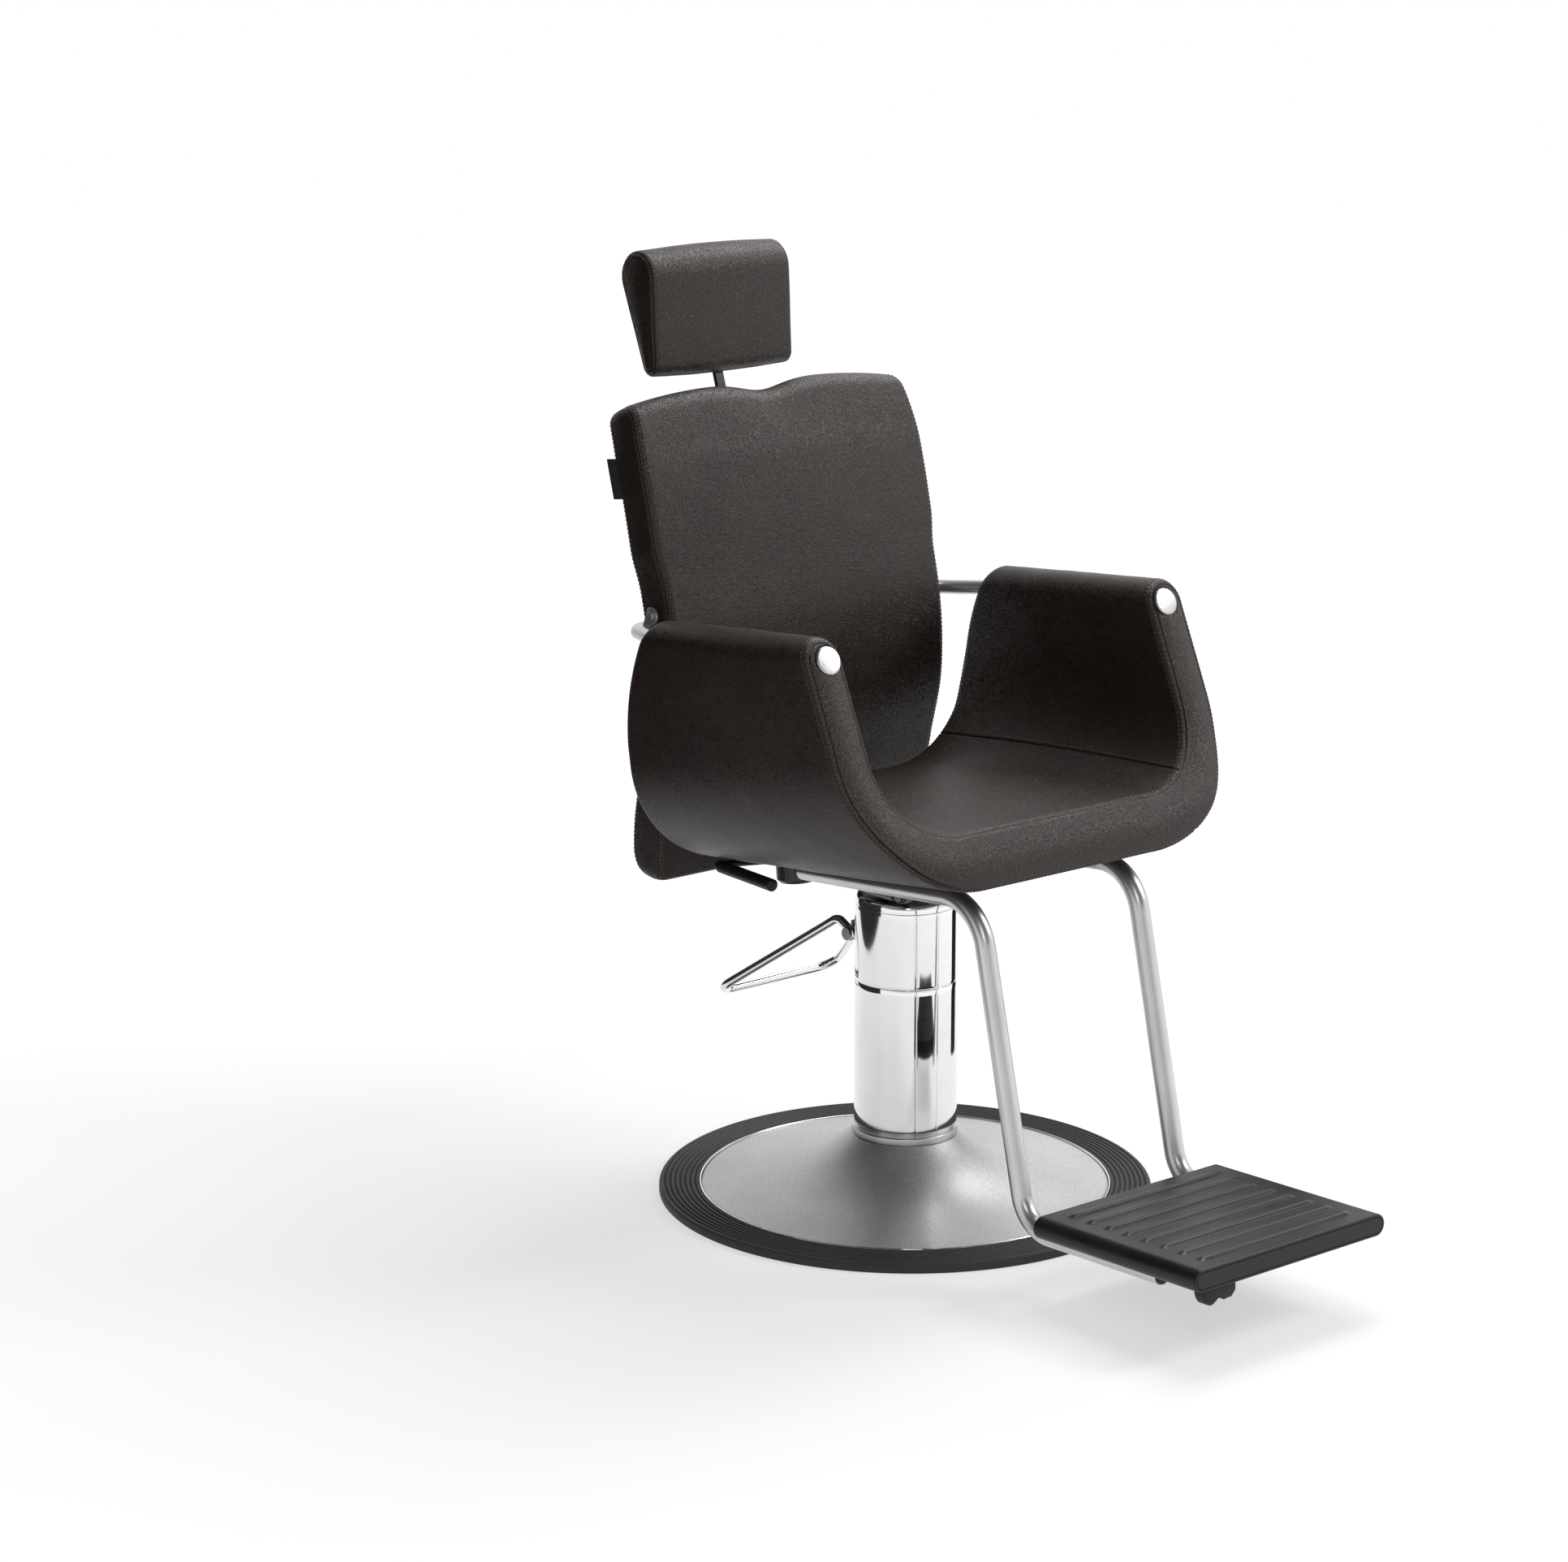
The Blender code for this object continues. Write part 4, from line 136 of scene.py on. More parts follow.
def from_foot_plate(points):
    """Frame of the footrest's top face to chair frame, a turn by its pitch P about X."""
    x, y, z = np.moveaxis(np.asarray(points, float), -1, 0)
    c, s = np.cos(FOOT_PLATE_PITCH), np.sin(FOOT_PLATE_PITCH)
    return np.stack([x, -FOOT_PLATE_Y + y * c + z * s, FOOT_PLATE_Z - y * s + z * c], -1)


# ---------------------------------------------------------------- meshes from arrays
def surface(name, grid, around=True, along=False, smooth=40.0, keep=None):
    """Quads over a grid of points [row, column].  around joins the last column to the first,
    along joins the last row to the first.  A closed skin is turned outwards by the sign of its
    volume, the sum of a . (b x c) / 6 over its triangles; an open sheet, of which keep picks
    faces by their centres, keeps the order of its grid."""
    rows, cols = grid.shape[:2]
    r = np.arange(rows if along else rows - 1)[:, None]
    c = np.arange(cols if around else cols - 1)[None, :]
    r2, c2 = (r + 1) % rows, (c + 1) % cols
    quads = np.stack([r * cols + c, r * cols + c2, r2 * cols + c2, r2 * cols + c],
                     -1).reshape(-1, 4)
    points = grid.reshape(-1, 3)
    if keep is not None:
        quads = quads[keep(points[quads].mean(1))]
    else:
        a, b, d, e = (points[quads[:, k]] for k in range(4))
        if (a * (np.cross(b, d) + np.cross(d, e))).sum() < 0:
            quads = quads[:, ::-1]
    mesh = bpy.data.meshes.new(name)
    mesh.from_pydata(points.tolist(), [], quads.tolist())
    work = bmesh.new()
    work.from_mesh(mesh)
    bmesh.ops.remove_doubles(work, verts=work.verts, dist=2e-6)
    bmesh.ops.delete(work, geom=[v for v in work.verts if not v.link_faces], context="VERTS")
    work.to_mesh(mesh)
    work.free()
    return finished(name, mesh, smooth)


def finished(name, mesh, smooth):
    """Shades a mesh smooth up to an angle in degrees and puts it into the scene."""
    mesh.shade_smooth()
    mesh.set_sharp_from_angle(angle=np.radians(smooth))
    piece = bpy.data.objects.new(name, mesh)
    bpy.context.scene.collection.objects.link(piece)
    return piece


def dressed(piece, material, body, slot, *nodes):
    """Gives a piece its material and its body, and hides the CAD nodes it stands for; slot is not
    used.
    """
    piece.data.materials.append(material)
    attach(piece, body)
    if nodes:
        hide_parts(*nodes)
    return piece


def unit(vectors):
    """Each vector over its own length."""
    return vectors / np.maximum(np.linalg.norm(vectors, axis=-1, keepdims=True), 1e-12)


def rounded_line(corners, radii, step=6.0, closed=False):
    """A line through the corners, each given a radius turned into an arc: the arc's centre lies
    on the bisector, radius / sin(half angle) from the corner."""
    corners = [np.asarray(c, float) for c in corners]
    count = len(corners)
    line = [] if closed else [corners[0]]
    for k in (range(count) if closed else range(1, count - 1)):
        radius = radii[k] if closed else radii[k - 1]
        corner = corners[k]
        if radius <= 0:
            line.append(corner)
            continue
        a = unit(corners[k - 1] - corner)
        b = unit(corners[(k + 1) % count] - corner)
        half = np.arccos(np.clip(a @ b, -1, 1)) / 2
        centre = corner + unit(a + b) * radius / np.sin(half)
        first = corner + a * radius / np.tan(half) - centre
        last = corner + b * radius / np.tan(half) - centre
        turn = PI - 2 * half
        steps = max(2, int(np.ceil(turn / np.radians(step))))
        t = np.linspace(0, 1, steps + 1)[:, None]
        line.extend(centre + (first * np.sin((1 - t) * turn) + last * np.sin(t * turn))
                    / np.sin(turn))
    if not closed:
        line.append(corners[-1])
    return np.array(line)


def turned(profile, facets):
    """A (radius, height) profile turned about Z: x = r cos a, y = r sin a."""
    a = 2 * PI * np.arange(facets) / facets
    r, z = np.asarray(profile, float).T
    return np.stack([r[:, None] * np.cos(a), r[:, None] * np.sin(a),
                     np.broadcast_to(z[:, None], (len(r), facets))], -1)


def bar(path, radius, across, sides, edge=0.0006):
    """A round bar carried along a path: p + r (A cos a + B sin a), with A square to the path and
    to the direction across, and B square to both; both ends close over a small bevel."""
    path = np.asarray(path, float)
    tangent = unit(np.gradient(path, axis=0))
    first, last = tangent[0], tangent[-1]
    spine = np.concatenate([[path[0]] * 2, [path[0] + first * edge], path[1:-1],
                            [path[-1] - last * edge], [path[-1]] * 2])
    ahead = np.concatenate([[first] * 3, tangent[1:-1], [last] * 3])
    size = np.full(len(spine), radius)
    size[[0, -1]] = 0.0
    size[[1, -2]] = radius - edge
    a = unit(np.cross(np.broadcast_to(across, ahead.shape), ahead))
    b = np.cross(ahead, a)
    turn = 2 * PI * np.arange(sides) / sides
    return (spine[:, None] + size[:, None, None]
            * (a[:, None] * np.cos(turn)[None, :, None] + b[:, None] * np.sin(turn)[None, :, None]))


def joined(name, pieces):
    """Several pieces in one object, each still a closed skin of its own."""
    work = bmesh.new()
    for piece in pieces:
        work.from_mesh(piece.data)
        mesh = piece.data
        bpy.data.objects.remove(piece)
        bpy.data.meshes.remove(mesh)
    mesh = bpy.data.meshes.new(name)
    work.to_mesh(mesh)
    work.free()
    piece = bpy.data.objects.new(name, mesh)
    bpy.context.scene.collection.objects.link(piece)
    return piece


def stitches(line, normal, closed=False):
    """Thread laid along a line on the leather, of which each point has a normal: a bead for
    each stitch, half sunk, its section r sqrt(1 - t^4) for t from -1 to 1 along it, dipping at
    both needle holes.  Gives a grid of points [stitch, t, round the thread]."""
    if closed:
        line, normal = np.vstack([line, line[:1]]), np.vstack([normal, normal[:1]])
    run = np.concatenate([[0], np.cumsum(np.linalg.norm(np.diff(line, axis=0), axis=1))])
    count = max(2, int(run[-1] / STITCH_PITCH))
    places = (np.arange(count) + 0.5) * run[-1] / count

    def at(values, where):
        return np.stack([np.interp(where, run, values[:, k]) for k in range(3)], -1)
    centre, up = at(line, places), unit(at(normal, places))
    ahead = unit(at(line, places + 0.001) - at(line, places - 0.001))
    side = unit(np.cross(ahead, up))
    t = np.linspace(-1, 1, 7)
    a = 2 * PI * np.arange(6) / 6
    size = THREAD_R * np.sqrt(np.clip(1 - t ** 4, 0, 1))
    rise = 0.00030 - 0.00055 * t ** 4
    return (centre[:, None, None] + ahead[:, None, None] * (t * STITCH_L / 2)[None, :, None, None]
            + up[:, None, None] * (rise[:, None] + size[:, None] * np.sin(a))[None, :, :, None]
            + side[:, None, None] * (1.15 * size[:, None] * np.cos(a))[None, :, :, None])


def thread_piece(name, runs, material, body):
    """All the stitches of some seams in one mesh, quads by index arithmetic."""
    grids = np.concatenate([stitches(*run) for run in runs])
    count, rows, cols = grids.shape[:3]
    r, c = np.arange(rows - 1)[:, None], np.arange(cols)[None, :]
    bead = np.stack([r * cols + c, r * cols + (c + 1) % cols, (r + 1) * cols + (c + 1) % cols,
                     (r + 1) * cols + c], -1).reshape(-1, 4)[:, ::-1]
    quads = (bead[None] + (np.arange(count) * rows * cols)[:, None, None]).reshape(-1, 4)
    mesh = bpy.data.meshes.new(name)
    mesh.from_pydata(grids.reshape(-1, 3).tolist(), [], quads.tolist())
    work = bmesh.new()
    work.from_mesh(mesh)
    bmesh.ops.remove_doubles(work, verts=work.verts, dist=1e-7)
    bmesh.ops.recalc_face_normals(work, faces=work.faces)
    work.to_mesh(mesh)
    work.free()
    return dressed(finished(name, mesh, 60), material, body, "leather")


def outward_normals(grid):
    """Unit normals of a closed skin's grid, from the cross product of its two differences,
    turned outwards by the sign of its volume."""
    b, c = np.roll(grid, -1, 1), np.roll(np.roll(grid, -1, 1), -1, 0)
    d = np.roll(grid, -1, 0)
    volume = (grid * (np.cross(b, c) + np.cross(c, d))).sum(-1)[:-1].sum()
    around = np.roll(grid, -1, 1) - np.roll(grid, 1, 1)
    return np.sign(volume) * unit(np.cross(around, np.gradient(grid, axis=0)))


def noise_wave(a, b, seed):
    """Slow uneven wave over two lengths in metres: eighteen sines of seeded directions with
    wavelengths from 25 to 160 mm, about -1 to 1."""
    rng = np.random.default_rng(seed)
    total = 0.0
    for wavelength in np.geomspace(0.025, 0.16, 18):
        turn, phase = rng.uniform(0, 2 * PI, 2)
        total = total + wavelength / 0.16 * np.sin(
            2 * PI * (a * np.cos(turn) + b * np.sin(turn)) / wavelength + phase)
    return total / 4.5


def valley(distance, width=0.0011):
    """Cross section of a seam: 1 at its bottom, falling off as exp(-(d / width)^2)."""
    return np.exp(-(distance / width) ** 2)


# ---------------------------------------------------------------- materials
def colour(code):
    """sRGB hex to linear: c / 12.92 below 0.04045, else ((c + 0.055) / 1.055) ** 2.4."""
    c = np.array([int(code[k:k + 2], 16) / 255 for k in (1, 3, 5)])
    lin = np.where(c <= 0.04045, c / 12.92, ((c + 0.055) / 1.055) ** 2.4)
    return (*lin.tolist(), 1.0)


def node(tree, kind, links=(), **settings):
    """Adds a node with its settings.  links gives (input, value) pairs: a socket is joined, a
    node is joined by its first output, and anything else is set."""
    made = tree.nodes.new(kind)
    for key, value in settings.items():
        setattr(made, key, value)
    for key, value in links:
        value = value.outputs[0] if isinstance(value, bpy.types.Node) else value
        if isinstance(value, bpy.types.NodeSocket):
            tree.links.new(value, made.inputs[key])
        else:
            made.inputs[key].default_value = value
    return made


def new_material(name, base, roughness, metallic=0.0, **constants):
    """A Principled material with its shader's constants, an underscore for each space, and the
    piece's own coordinates in metres."""
    made = bpy.data.materials.new(name)
    made.use_nodes = True
    made.diffuse_color = colour(base)
    tree = made.node_tree
    shader = tree.nodes["Principled BSDF"]
    constants.update(Base_Color=colour(base), Roughness=roughness, Metallic=metallic)
    for key, value in constants.items():
        shader.inputs[key.replace("_", " ")].default_value = value
    return made, tree, shader, node(tree, "ShaderNodeTexCoord").outputs["Object"]


def patterned(tree, shader, dark, light, share, relief, roughness=None):
    """Lets a pattern rule the shader: the colour goes from dark to light with share, the skin
    rises with relief, which is height, strength and depth in metres, and roughness follows."""
    tone = node(tree, "ShaderNodeMix", [("Factor", share), (6, colour(dark)),
                                        (7, colour(light))], data_type="RGBA")
    bump = node(tree, "ShaderNodeBump", zip(("Height", "Strength", "Distance"), relief))
    tree.links.new(tone.outputs[2], shader.inputs["Base Color"])
    tree.links.new(bump.outputs[0], shader.inputs["Normal"])
    if roughness:
        tree.links.new(roughness.outputs[0], shader.inputs["Roughness"])


def leather_material():
    """Corrected-grain cowhide, drum dyed dark brown and stretched over foam.  A pebble grain of
    about 2 mm with creases every 5 mm or so, drawn a little coarser than the real 1 mm so that
    it shows, and pores of 0.5 mm; a drift of the dye over 90 mm; painted shade that darkens the
    grain's crevices and leaves its crests lighter; a soft waxy sheen."""
    made, tree, shader, place = new_material("leather_dark_brown", "#332824", 0.34, IOR=1.50,
                                             Specular_IOR_Level=0.38, Sheen_Weight=0.02,
                                             Sheen_Roughness=0.40)
    warp = node(tree, "ShaderNodeTexNoise", [("Vector", place), ("Scale", 210.0),
                                             ("Detail", 2.0)])
    bent = node(tree, "ShaderNodeMix", [("Factor", 0.0021), (4, place),
                                        (5, warp.outputs["Color"])], data_type="VECTOR")
    tops = []
    for scale, uneven, slope in ((470.0, 0.9, 0.34), (185.0, 1.0, 0.16)):
        cells = node(tree, "ShaderNodeTexVoronoi", [("Vector", bent.outputs[1]), ("Scale", scale),
                                                    ("Randomness", uneven)],
                     feature="DISTANCE_TO_EDGE")
        tops.append(node(tree, "ShaderNodeMapRange", enumerate((cells, 0.0, slope, 0.0, 1.0))))
    grain = node(tree, "ShaderNodeMath", enumerate(tops), operation="MULTIPLY")
    pore = node(tree, "ShaderNodeTexNoise", [("Vector", place), ("Scale", 1900.0),
                                             ("Detail", 2.0)])
    drift = node(tree, "ShaderNodeTexNoise", [("Vector", place), ("Scale", 11.0),
                                              ("Detail", 3.0), ("Roughness", 0.6)])
    height = node(tree, "ShaderNodeMath", enumerate((pore, 0.22, grain)),
                  operation="MULTIPLY_ADD")
    # Painted shade: the colour darkens in the grain's crevices and is lighter on its crests.
    rubbing_and_crevice_shade = node(tree, "ShaderNodeMapRange", enumerate((grain, 0.0, 1.0, 0.35, 1.0)))
    shade = node(tree, "ShaderNodeMath", enumerate((drift, rubbing_and_crevice_shade)), operation="MULTIPLY")
    patterned(tree, shader, "#241915", "#3C2E27",
              node(tree, "ShaderNodeMapRange", enumerate((shade, 0.12, 0.62, 0.0, 1.0))),
              (height, 0.65, 0.00055),
              node(tree, "ShaderNodeMapRange", enumerate((height, 0.0, 1.1, 0.44, 0.27))))
    return made


def thread_material():
    """Bonded polyester thread in the leather's brown, twisted: a sheen with a slant every
    0.35 mm."""
    made, tree, shader, place = new_material("thread_brown", "#5A4B44", 0.50, Sheen_Weight=0.2)
    twist = node(tree, "ShaderNodeTexWave", [("Vector", place), ("Scale", 900.0),
                                             ("Distortion", 0.6)],
                 bands_direction="DIAGONAL").outputs["Fac"]
    patterned(tree, shader, "#4A3D37", "#6E5E55", twist, (twist, 0.4, 0.0002))
    return made


def chrome_material():
    """Bright chromium plate on polished steel: a mirror, with clouds of polishing haze 40 mm
    wide and an unevenness of the sheet 18 mm wide."""
    made, tree, shader, place = new_material("chrome_plate", "#E6E6E7", 0.045, 1.0)
    haze = node(tree, "ShaderNodeTexNoise", [("Vector", place), ("Scale", 26.0),
                                             ("Detail", 3.0)])
    fine = node(tree, "ShaderNodeTexNoise", [("Vector", place), ("Scale", 55.0),
                                             ("Detail", 1.0)])
    patterned(tree, shader, "#DEDFE0", "#EDEDED", haze, (fine, 0.03, 0.0004),
              node(tree, "ShaderNodeMapRange", enumerate((haze, 0.3, 0.7, 0.035, 0.075))))
    return made


def brushed_material(name, dark, light, rough_low, rough_high, scale, metallic=1.0):
    """Stainless or plated steel finished with fine abrasive, which spreads the highlight.  scale
    counts the scratches in a metre along each axis: 0.6 mm apart on the tubes, up to 5 mm long
    on the caps, drawn coarser than the real grit so that they show; clouds 55 mm wide."""
    made, tree, shader, place = new_material(name, light, rough_high, metallic)
    grit = node(tree, "ShaderNodeMapping", [("Vector", place), ("Scale", scale)])
    lines = node(tree, "ShaderNodeTexNoise", [("Vector", grit), ("Scale", 1.0), ("Detail", 4.0),
                                              ("Roughness", 0.65)])
    cloud = node(tree, "ShaderNodeTexNoise", [("Vector", place), ("Scale", 18.0),
                                              ("Detail", 2.0)])
    patterned(tree, shader, dark, light, cloud, (lines, 0.05, 0.00008),
              node(tree, "ShaderNodeMapRange",
                   enumerate((lines, 0.25, 0.75, rough_low, rough_high))))
    return made


def flake_paint_material():
    """Silver metallic stoving paint on the pressed cover: aluminium flakes of 0.2 mm, drawn at
    0.7 mm so that they show, each tilted its own way under a thin clear coat."""
    made, tree, shader, place = new_material("silver_flake_paint", "#B4B5B6", 0.40, 0.80,
                                             Coat_Weight=0.25, Coat_Roughness=0.22)
    flake = node(tree, "ShaderNodeTexVoronoi", [("Vector", place), ("Scale", 1400.0)])
    tilt, tone, dull = node(tree, "ShaderNodeSeparateColor",
                            [(0, flake.outputs["Color"])]).outputs
    cloud = node(tree, "ShaderNodeTexNoise", [("Vector", place), ("Scale", 7.0),
                                              ("Detail", 2.0)])
    tone = node(tree, "ShaderNodeMath", enumerate((tone, cloud)), operation="MULTIPLY")
    patterned(tree, shader, "#AFB0B1", "#D9DADA",
              node(tree, "ShaderNodeMapRange", enumerate((tone, 0.05, 0.55, 0.0, 1.0))),
              (tilt, 0.20, 0.00012),
              node(tree, "ShaderNodeMapRange", enumerate((dull, 0.0, 1.0, 0.38, 0.54))))
    return made


def moulded_material(name, dark, light, rough_low, rough_high, grain, depth, **constants):
    """Moulded plastic, rubber or sprayed paint: a fine even grain, darkened in its hollows by
    painted shade, and rubbing marks 60 mm wide.  grain is its size and depth its height, both in
    metres."""
    made, tree, shader, place = new_material(name, light, rough_high, **constants)
    skin = node(tree, "ShaderNodeTexNoise", [("Vector", place), ("Scale", 1 / grain),
                                             ("Detail", 3.0), ("Roughness", 0.6)])
    rubbing_and_crevice_shade = node(tree, "ShaderNodeTexNoise", [("Vector", place), ("Scale", 16.0),
                                               ("Detail", 4.0), ("Roughness", 0.65)])
    # Painted shade: the colour darkens in the grain's hollows; the slow rubbing marks are wear.
    tone = node(tree, "ShaderNodeMath", enumerate((skin, rubbing_and_crevice_shade)), operation="MULTIPLY")
    patterned(tree, shader, dark, light,
              node(tree, "ShaderNodeMapRange", enumerate((tone, 0.12, 0.40, 0.0, 1.0))),
              (skin, 0.35, depth),
              node(tree, "ShaderNodeMapRange",
                   enumerate((rubbing_and_crevice_shade, 0.3, 0.7, rough_low, rough_high))))
    return made


def ribbon_material():
    """Woven satin ribbon: warp and weft 0.5 mm apart, drawn at 1.6 mm so that they show."""
    made, tree, shader, place = new_material("ribbon_black", "#151313", 0.55, Sheen_Weight=0.25)
    threads = [node(tree, "ShaderNodeTexWave", [("Vector", place), ("Scale", 200.0)],
                    bands_direction=way).outputs["Fac"] for way in ("Z", "Y")]
    cloth = node(tree, "ShaderNodeMath", enumerate(threads), operation="MULTIPLY")
    patterned(tree, shader, "#0E0D0D", "#242121", cloth, (cloth, 0.4, 0.0003))
    return made


leather = leather_material()
thread = thread_material()
chrome = chrome_material()
satin_steel = brushed_material("satin_stainless", "#C2C3C4", "#DADBDC", 0.30, 0.37,
                               (1700, 1700, 1700))
plain_steel = brushed_material("ground_steel", "#8E8F91", "#AEAFB1", 0.24, 0.42,
                               (500, 500, 2500))
cap_metal = brushed_material("anodised_cap", "#A8A8A7", "#C4C4C3", 0.18, 0.24,
                             (1200, 200, 1200), 0.80)
zinc = brushed_material("zinc_plate", "#A9ABAE", "#C6C8CA", 0.30, 0.45, (700, 700, 700), 0.75)
bow_steel = brushed_material("satin_bow", "#C0C1C2", "#DADBDC", 0.24, 0.36,
                             (1700, 1700, 1700), 0.80)
cover_paint = flake_paint_material()
ring_rubber = moulded_material("rubber_dark_grey", "#38393B", "#494A4C", 0.50, 0.64, 0.0011,
                               0.00010, Specular_IOR_Level=0.35)
charcoal = moulded_material("footrest_charcoal", "#19191A", "#272728", 0.34, 0.46, 0.0010,
                            0.00016, Specular_IOR_Level=0.35)
black_rubber = moulded_material("rubber_black", "#141414", "#1F1F20", 0.44, 0.60, 0.0012,
                                0.00010, Specular_IOR_Level=0.35)
black_plastic = moulded_material("nylon_black", "#141415", "#202022", 0.34, 0.50, 0.0012,
                                 0.00008, Specular_IOR_Level=0.35)
black_paint = moulded_material("stove_paint_black", "#151517", "#222225", 0.28, 0.44, 0.0016,
                               0.00008, Coat_Weight=0.2)
iron_paint = moulded_material("primed_iron", "#303133", "#3E3F42", 0.45, 0.62, 0.0020,
                              0.00020)
ribbon = ribbon_material()

FINISHES = {
    "floor_plate": iron_paint, "pump_cylinder": black_paint, "pump_head": black_paint,
    "gland_nut": plain_steel, "lever_shaft": plain_steel, "lever_finger": plain_steel,
    "pump_plunger": plain_steel, "ram": plain_steel, "piston_ring": black_plastic,
    "thrust_washer": zinc, "swivel_hub": black_paint, "seat_plate": black_paint,
    "tube_plug_rear_right": black_plastic, "tube_plug_rear_left": black_plastic,
    "tube_plug_front_right": black_plastic, "tube_plug_front_left": black_plastic,
    "spring_bracket": black_paint, "spring_pin": plain_steel, "release_housing": black_paint,
    "tail_bracket": black_paint, "tail_pin": plain_steel, "pivot_screw_right": zinc,
    "pivot_screw_left": zinc, "pivot_bush_right": black_plastic,
    "pivot_bush_left": black_plastic, "headrest_guide": black_paint,
    "headrest_bar": black_plastic, "spring_cylinder": black_paint, "spring_rod": plain_steel,
}
for name, finish in FINISHES.items():
    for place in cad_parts[name].material_slots:
        place.material = finish


# ---------------------------------------------------------------- base
def cover_height(r):
    """z(r): with the share h run inwards, edge + (foot - edge)(0.42 h + 0.58 h^4)."""
    share = (COVER_R - r) / (COVER_R - COLUMN_R - 0.004)
    return COVER_EDGE_Z + (FOOT_Z - COVER_EDGE_Z) * (0.42 * share + 0.58 * share ** 4)


def base_cover():
    """Pressed cover: its outer face is cover_height turned about Z, rolled over at the rim by a
    quarter of an ellipse."""
    rim_r = COVER_R - COVER_ROLL
    radii = np.linspace(rim_r, COLUMN_R + 0.004, 56)
    roll = np.linspace(0, PI / 2, 10)[:-1]
    rim = np.stack([rim_r + COVER_ROLL * np.cos(roll),
                    cover_height(rim_r) - COVER_ROLL_H * (1 - np.sin(roll))], 1)
    outer = np.vstack([[[COVER_R, SHEET / 2]], rim, np.stack([radii, cover_height(radii)], 1),
                       [[COLUMN_R - 0.006, FOOT_Z]]])
    inner = np.stack([radii - SHEET / 2, cover_height(radii) - 1.2 * SHEET], 1)[::-6][1:]
    profile = np.vstack([outer, [[COLUMN_R - 0.006, FOOT_Z - SHEET]], inner,
                         [[COVER_R - SHEET, COVER_EDGE_Z - 0.004], [COVER_R - SHEET, SHEET / 2]]])
    return surface("base_cover_pressed", turned(profile, 220), along=True)


def rubber_ring():
    """Ring whose top face dips once for each groove: z = h - d |sin(pi t)|^4 with t the
    distance in pitches and d the depth, inside a round outer lip."""
    pitch = (RING_W - 0.006) / RING_GROOVES
    inner_r, lip_r, lip_z = RING_R - RING_W, RING_R - RING_LIP, RING_H - RING_LIP
    r = np.linspace(RING_R - 0.0042, inner_r + 0.0015, 150)
    phase = (RING_R - 0.004 - r) / pitch
    z = RING_H - GROOVE_SHOWN * np.abs(np.sin(PI * phase)) ** 4 * (phase > 0.02)
    lip = np.linspace(0, PI / 2, 8)
    edge = np.stack([lip_r + RING_LIP * np.cos(lip), lip_z + RING_LIP * np.sin(lip)], 1)
    profile = np.vstack([[[RING_R - 0.001, 0.0], [RING_R, 0.001]], edge,
                         np.stack([r, z], 1), [[inner_r, RING_H - 0.001], [inner_r, 0.0]]])
    return surface("rubber_ring_grooved", turned(profile, 240), along=True, smooth=60)


def trim_ring():
    """Half-round bright bead between cover and rubber."""
    a = np.linspace(0, PI, 9)
    mid, half, top = TRIM_OUT_R - TRIM_W / 2, TRIM_W / 2, RING_H - 0.0004
    profile = np.vstack([np.stack([mid + half * np.cos(a), top + half * np.sin(a)], 1),
                         [[mid - half, 0.0005], [mid + half, 0.0005]]])
    return surface("trim_bead", turned(profile, 240), along=True)


def foot_band():
    """Flat band under the casing, with a small round on its upper edge."""
    inner, outer, top = COLUMN_R - 0.006, COLUMN_R + 0.001, BAND_Z + BAND_H
    profile = rounded_line([(inner, BAND_Z), (outer, BAND_Z), (outer, top), (inner, top)],
                           (0.0, 0.0005, 0.0010, 0.0), 20, closed=True)
    return surface("foot_band_ring", turned(profile, 160), along=True)


dressed(base_cover(), cover_paint, "base", "cover", "base_cover")
dressed(rubber_ring(), ring_rubber, "base", "rubber", "rubber_ring")
dressed(trim_ring(), chrome, "base", "chrome", "trim_ring")
dressed(foot_band(), satin_steel, "base", "satin", "foot_band")


# ---------------------------------------------------------------- column
def casing_sheet(name, radius, start, sweep, low, high, window=None):
    """Rolled sheet: x = r cos a, y = r sin a over the sweep, z from low to high, with the faces
    inside the window left out, and a wall grown inwards."""
    heights = np.linspace(low, high, 24)
    angles = start + np.linspace(0, sweep, max(24, int(sweep / 0.035)))
    if window:
        side, bottom, top = window
        heights = np.unique(np.concatenate([heights, [bottom, top]]))
        turn = np.arcsin(side / radius)
        middle = PI / 2 + 2 * PI * np.round((start + sweep / 2 - PI / 2) / (2 * PI))
        angles = np.unique(np.concatenate([angles, [middle - turn, middle + turn]]))
    grid = np.stack(np.broadcast_arrays(radius * np.cos(angles)[None, :],
                                        radius * np.sin(angles)[None, :],
                                        heights[:, None]), -1)

    def keep(centres):
        if not window:
            return np.full(len(centres), True)
        x, y, z = centres.T
        return ~((y > 0) & (abs(x) < side) & (z > bottom) & (z < top))
    piece = surface(name, grid, around=False, keep=keep)
    wall = piece.modifiers.new("wall", "SOLIDIFY")
    wall.thickness = CASING_T
    wall.offset = -1.0
    edge = piece.modifiers.new("edge", "BEVEL")
    edge.width, edge.segments, edge.limit_method = 0.0003, 2, "ANGLE"
    return piece


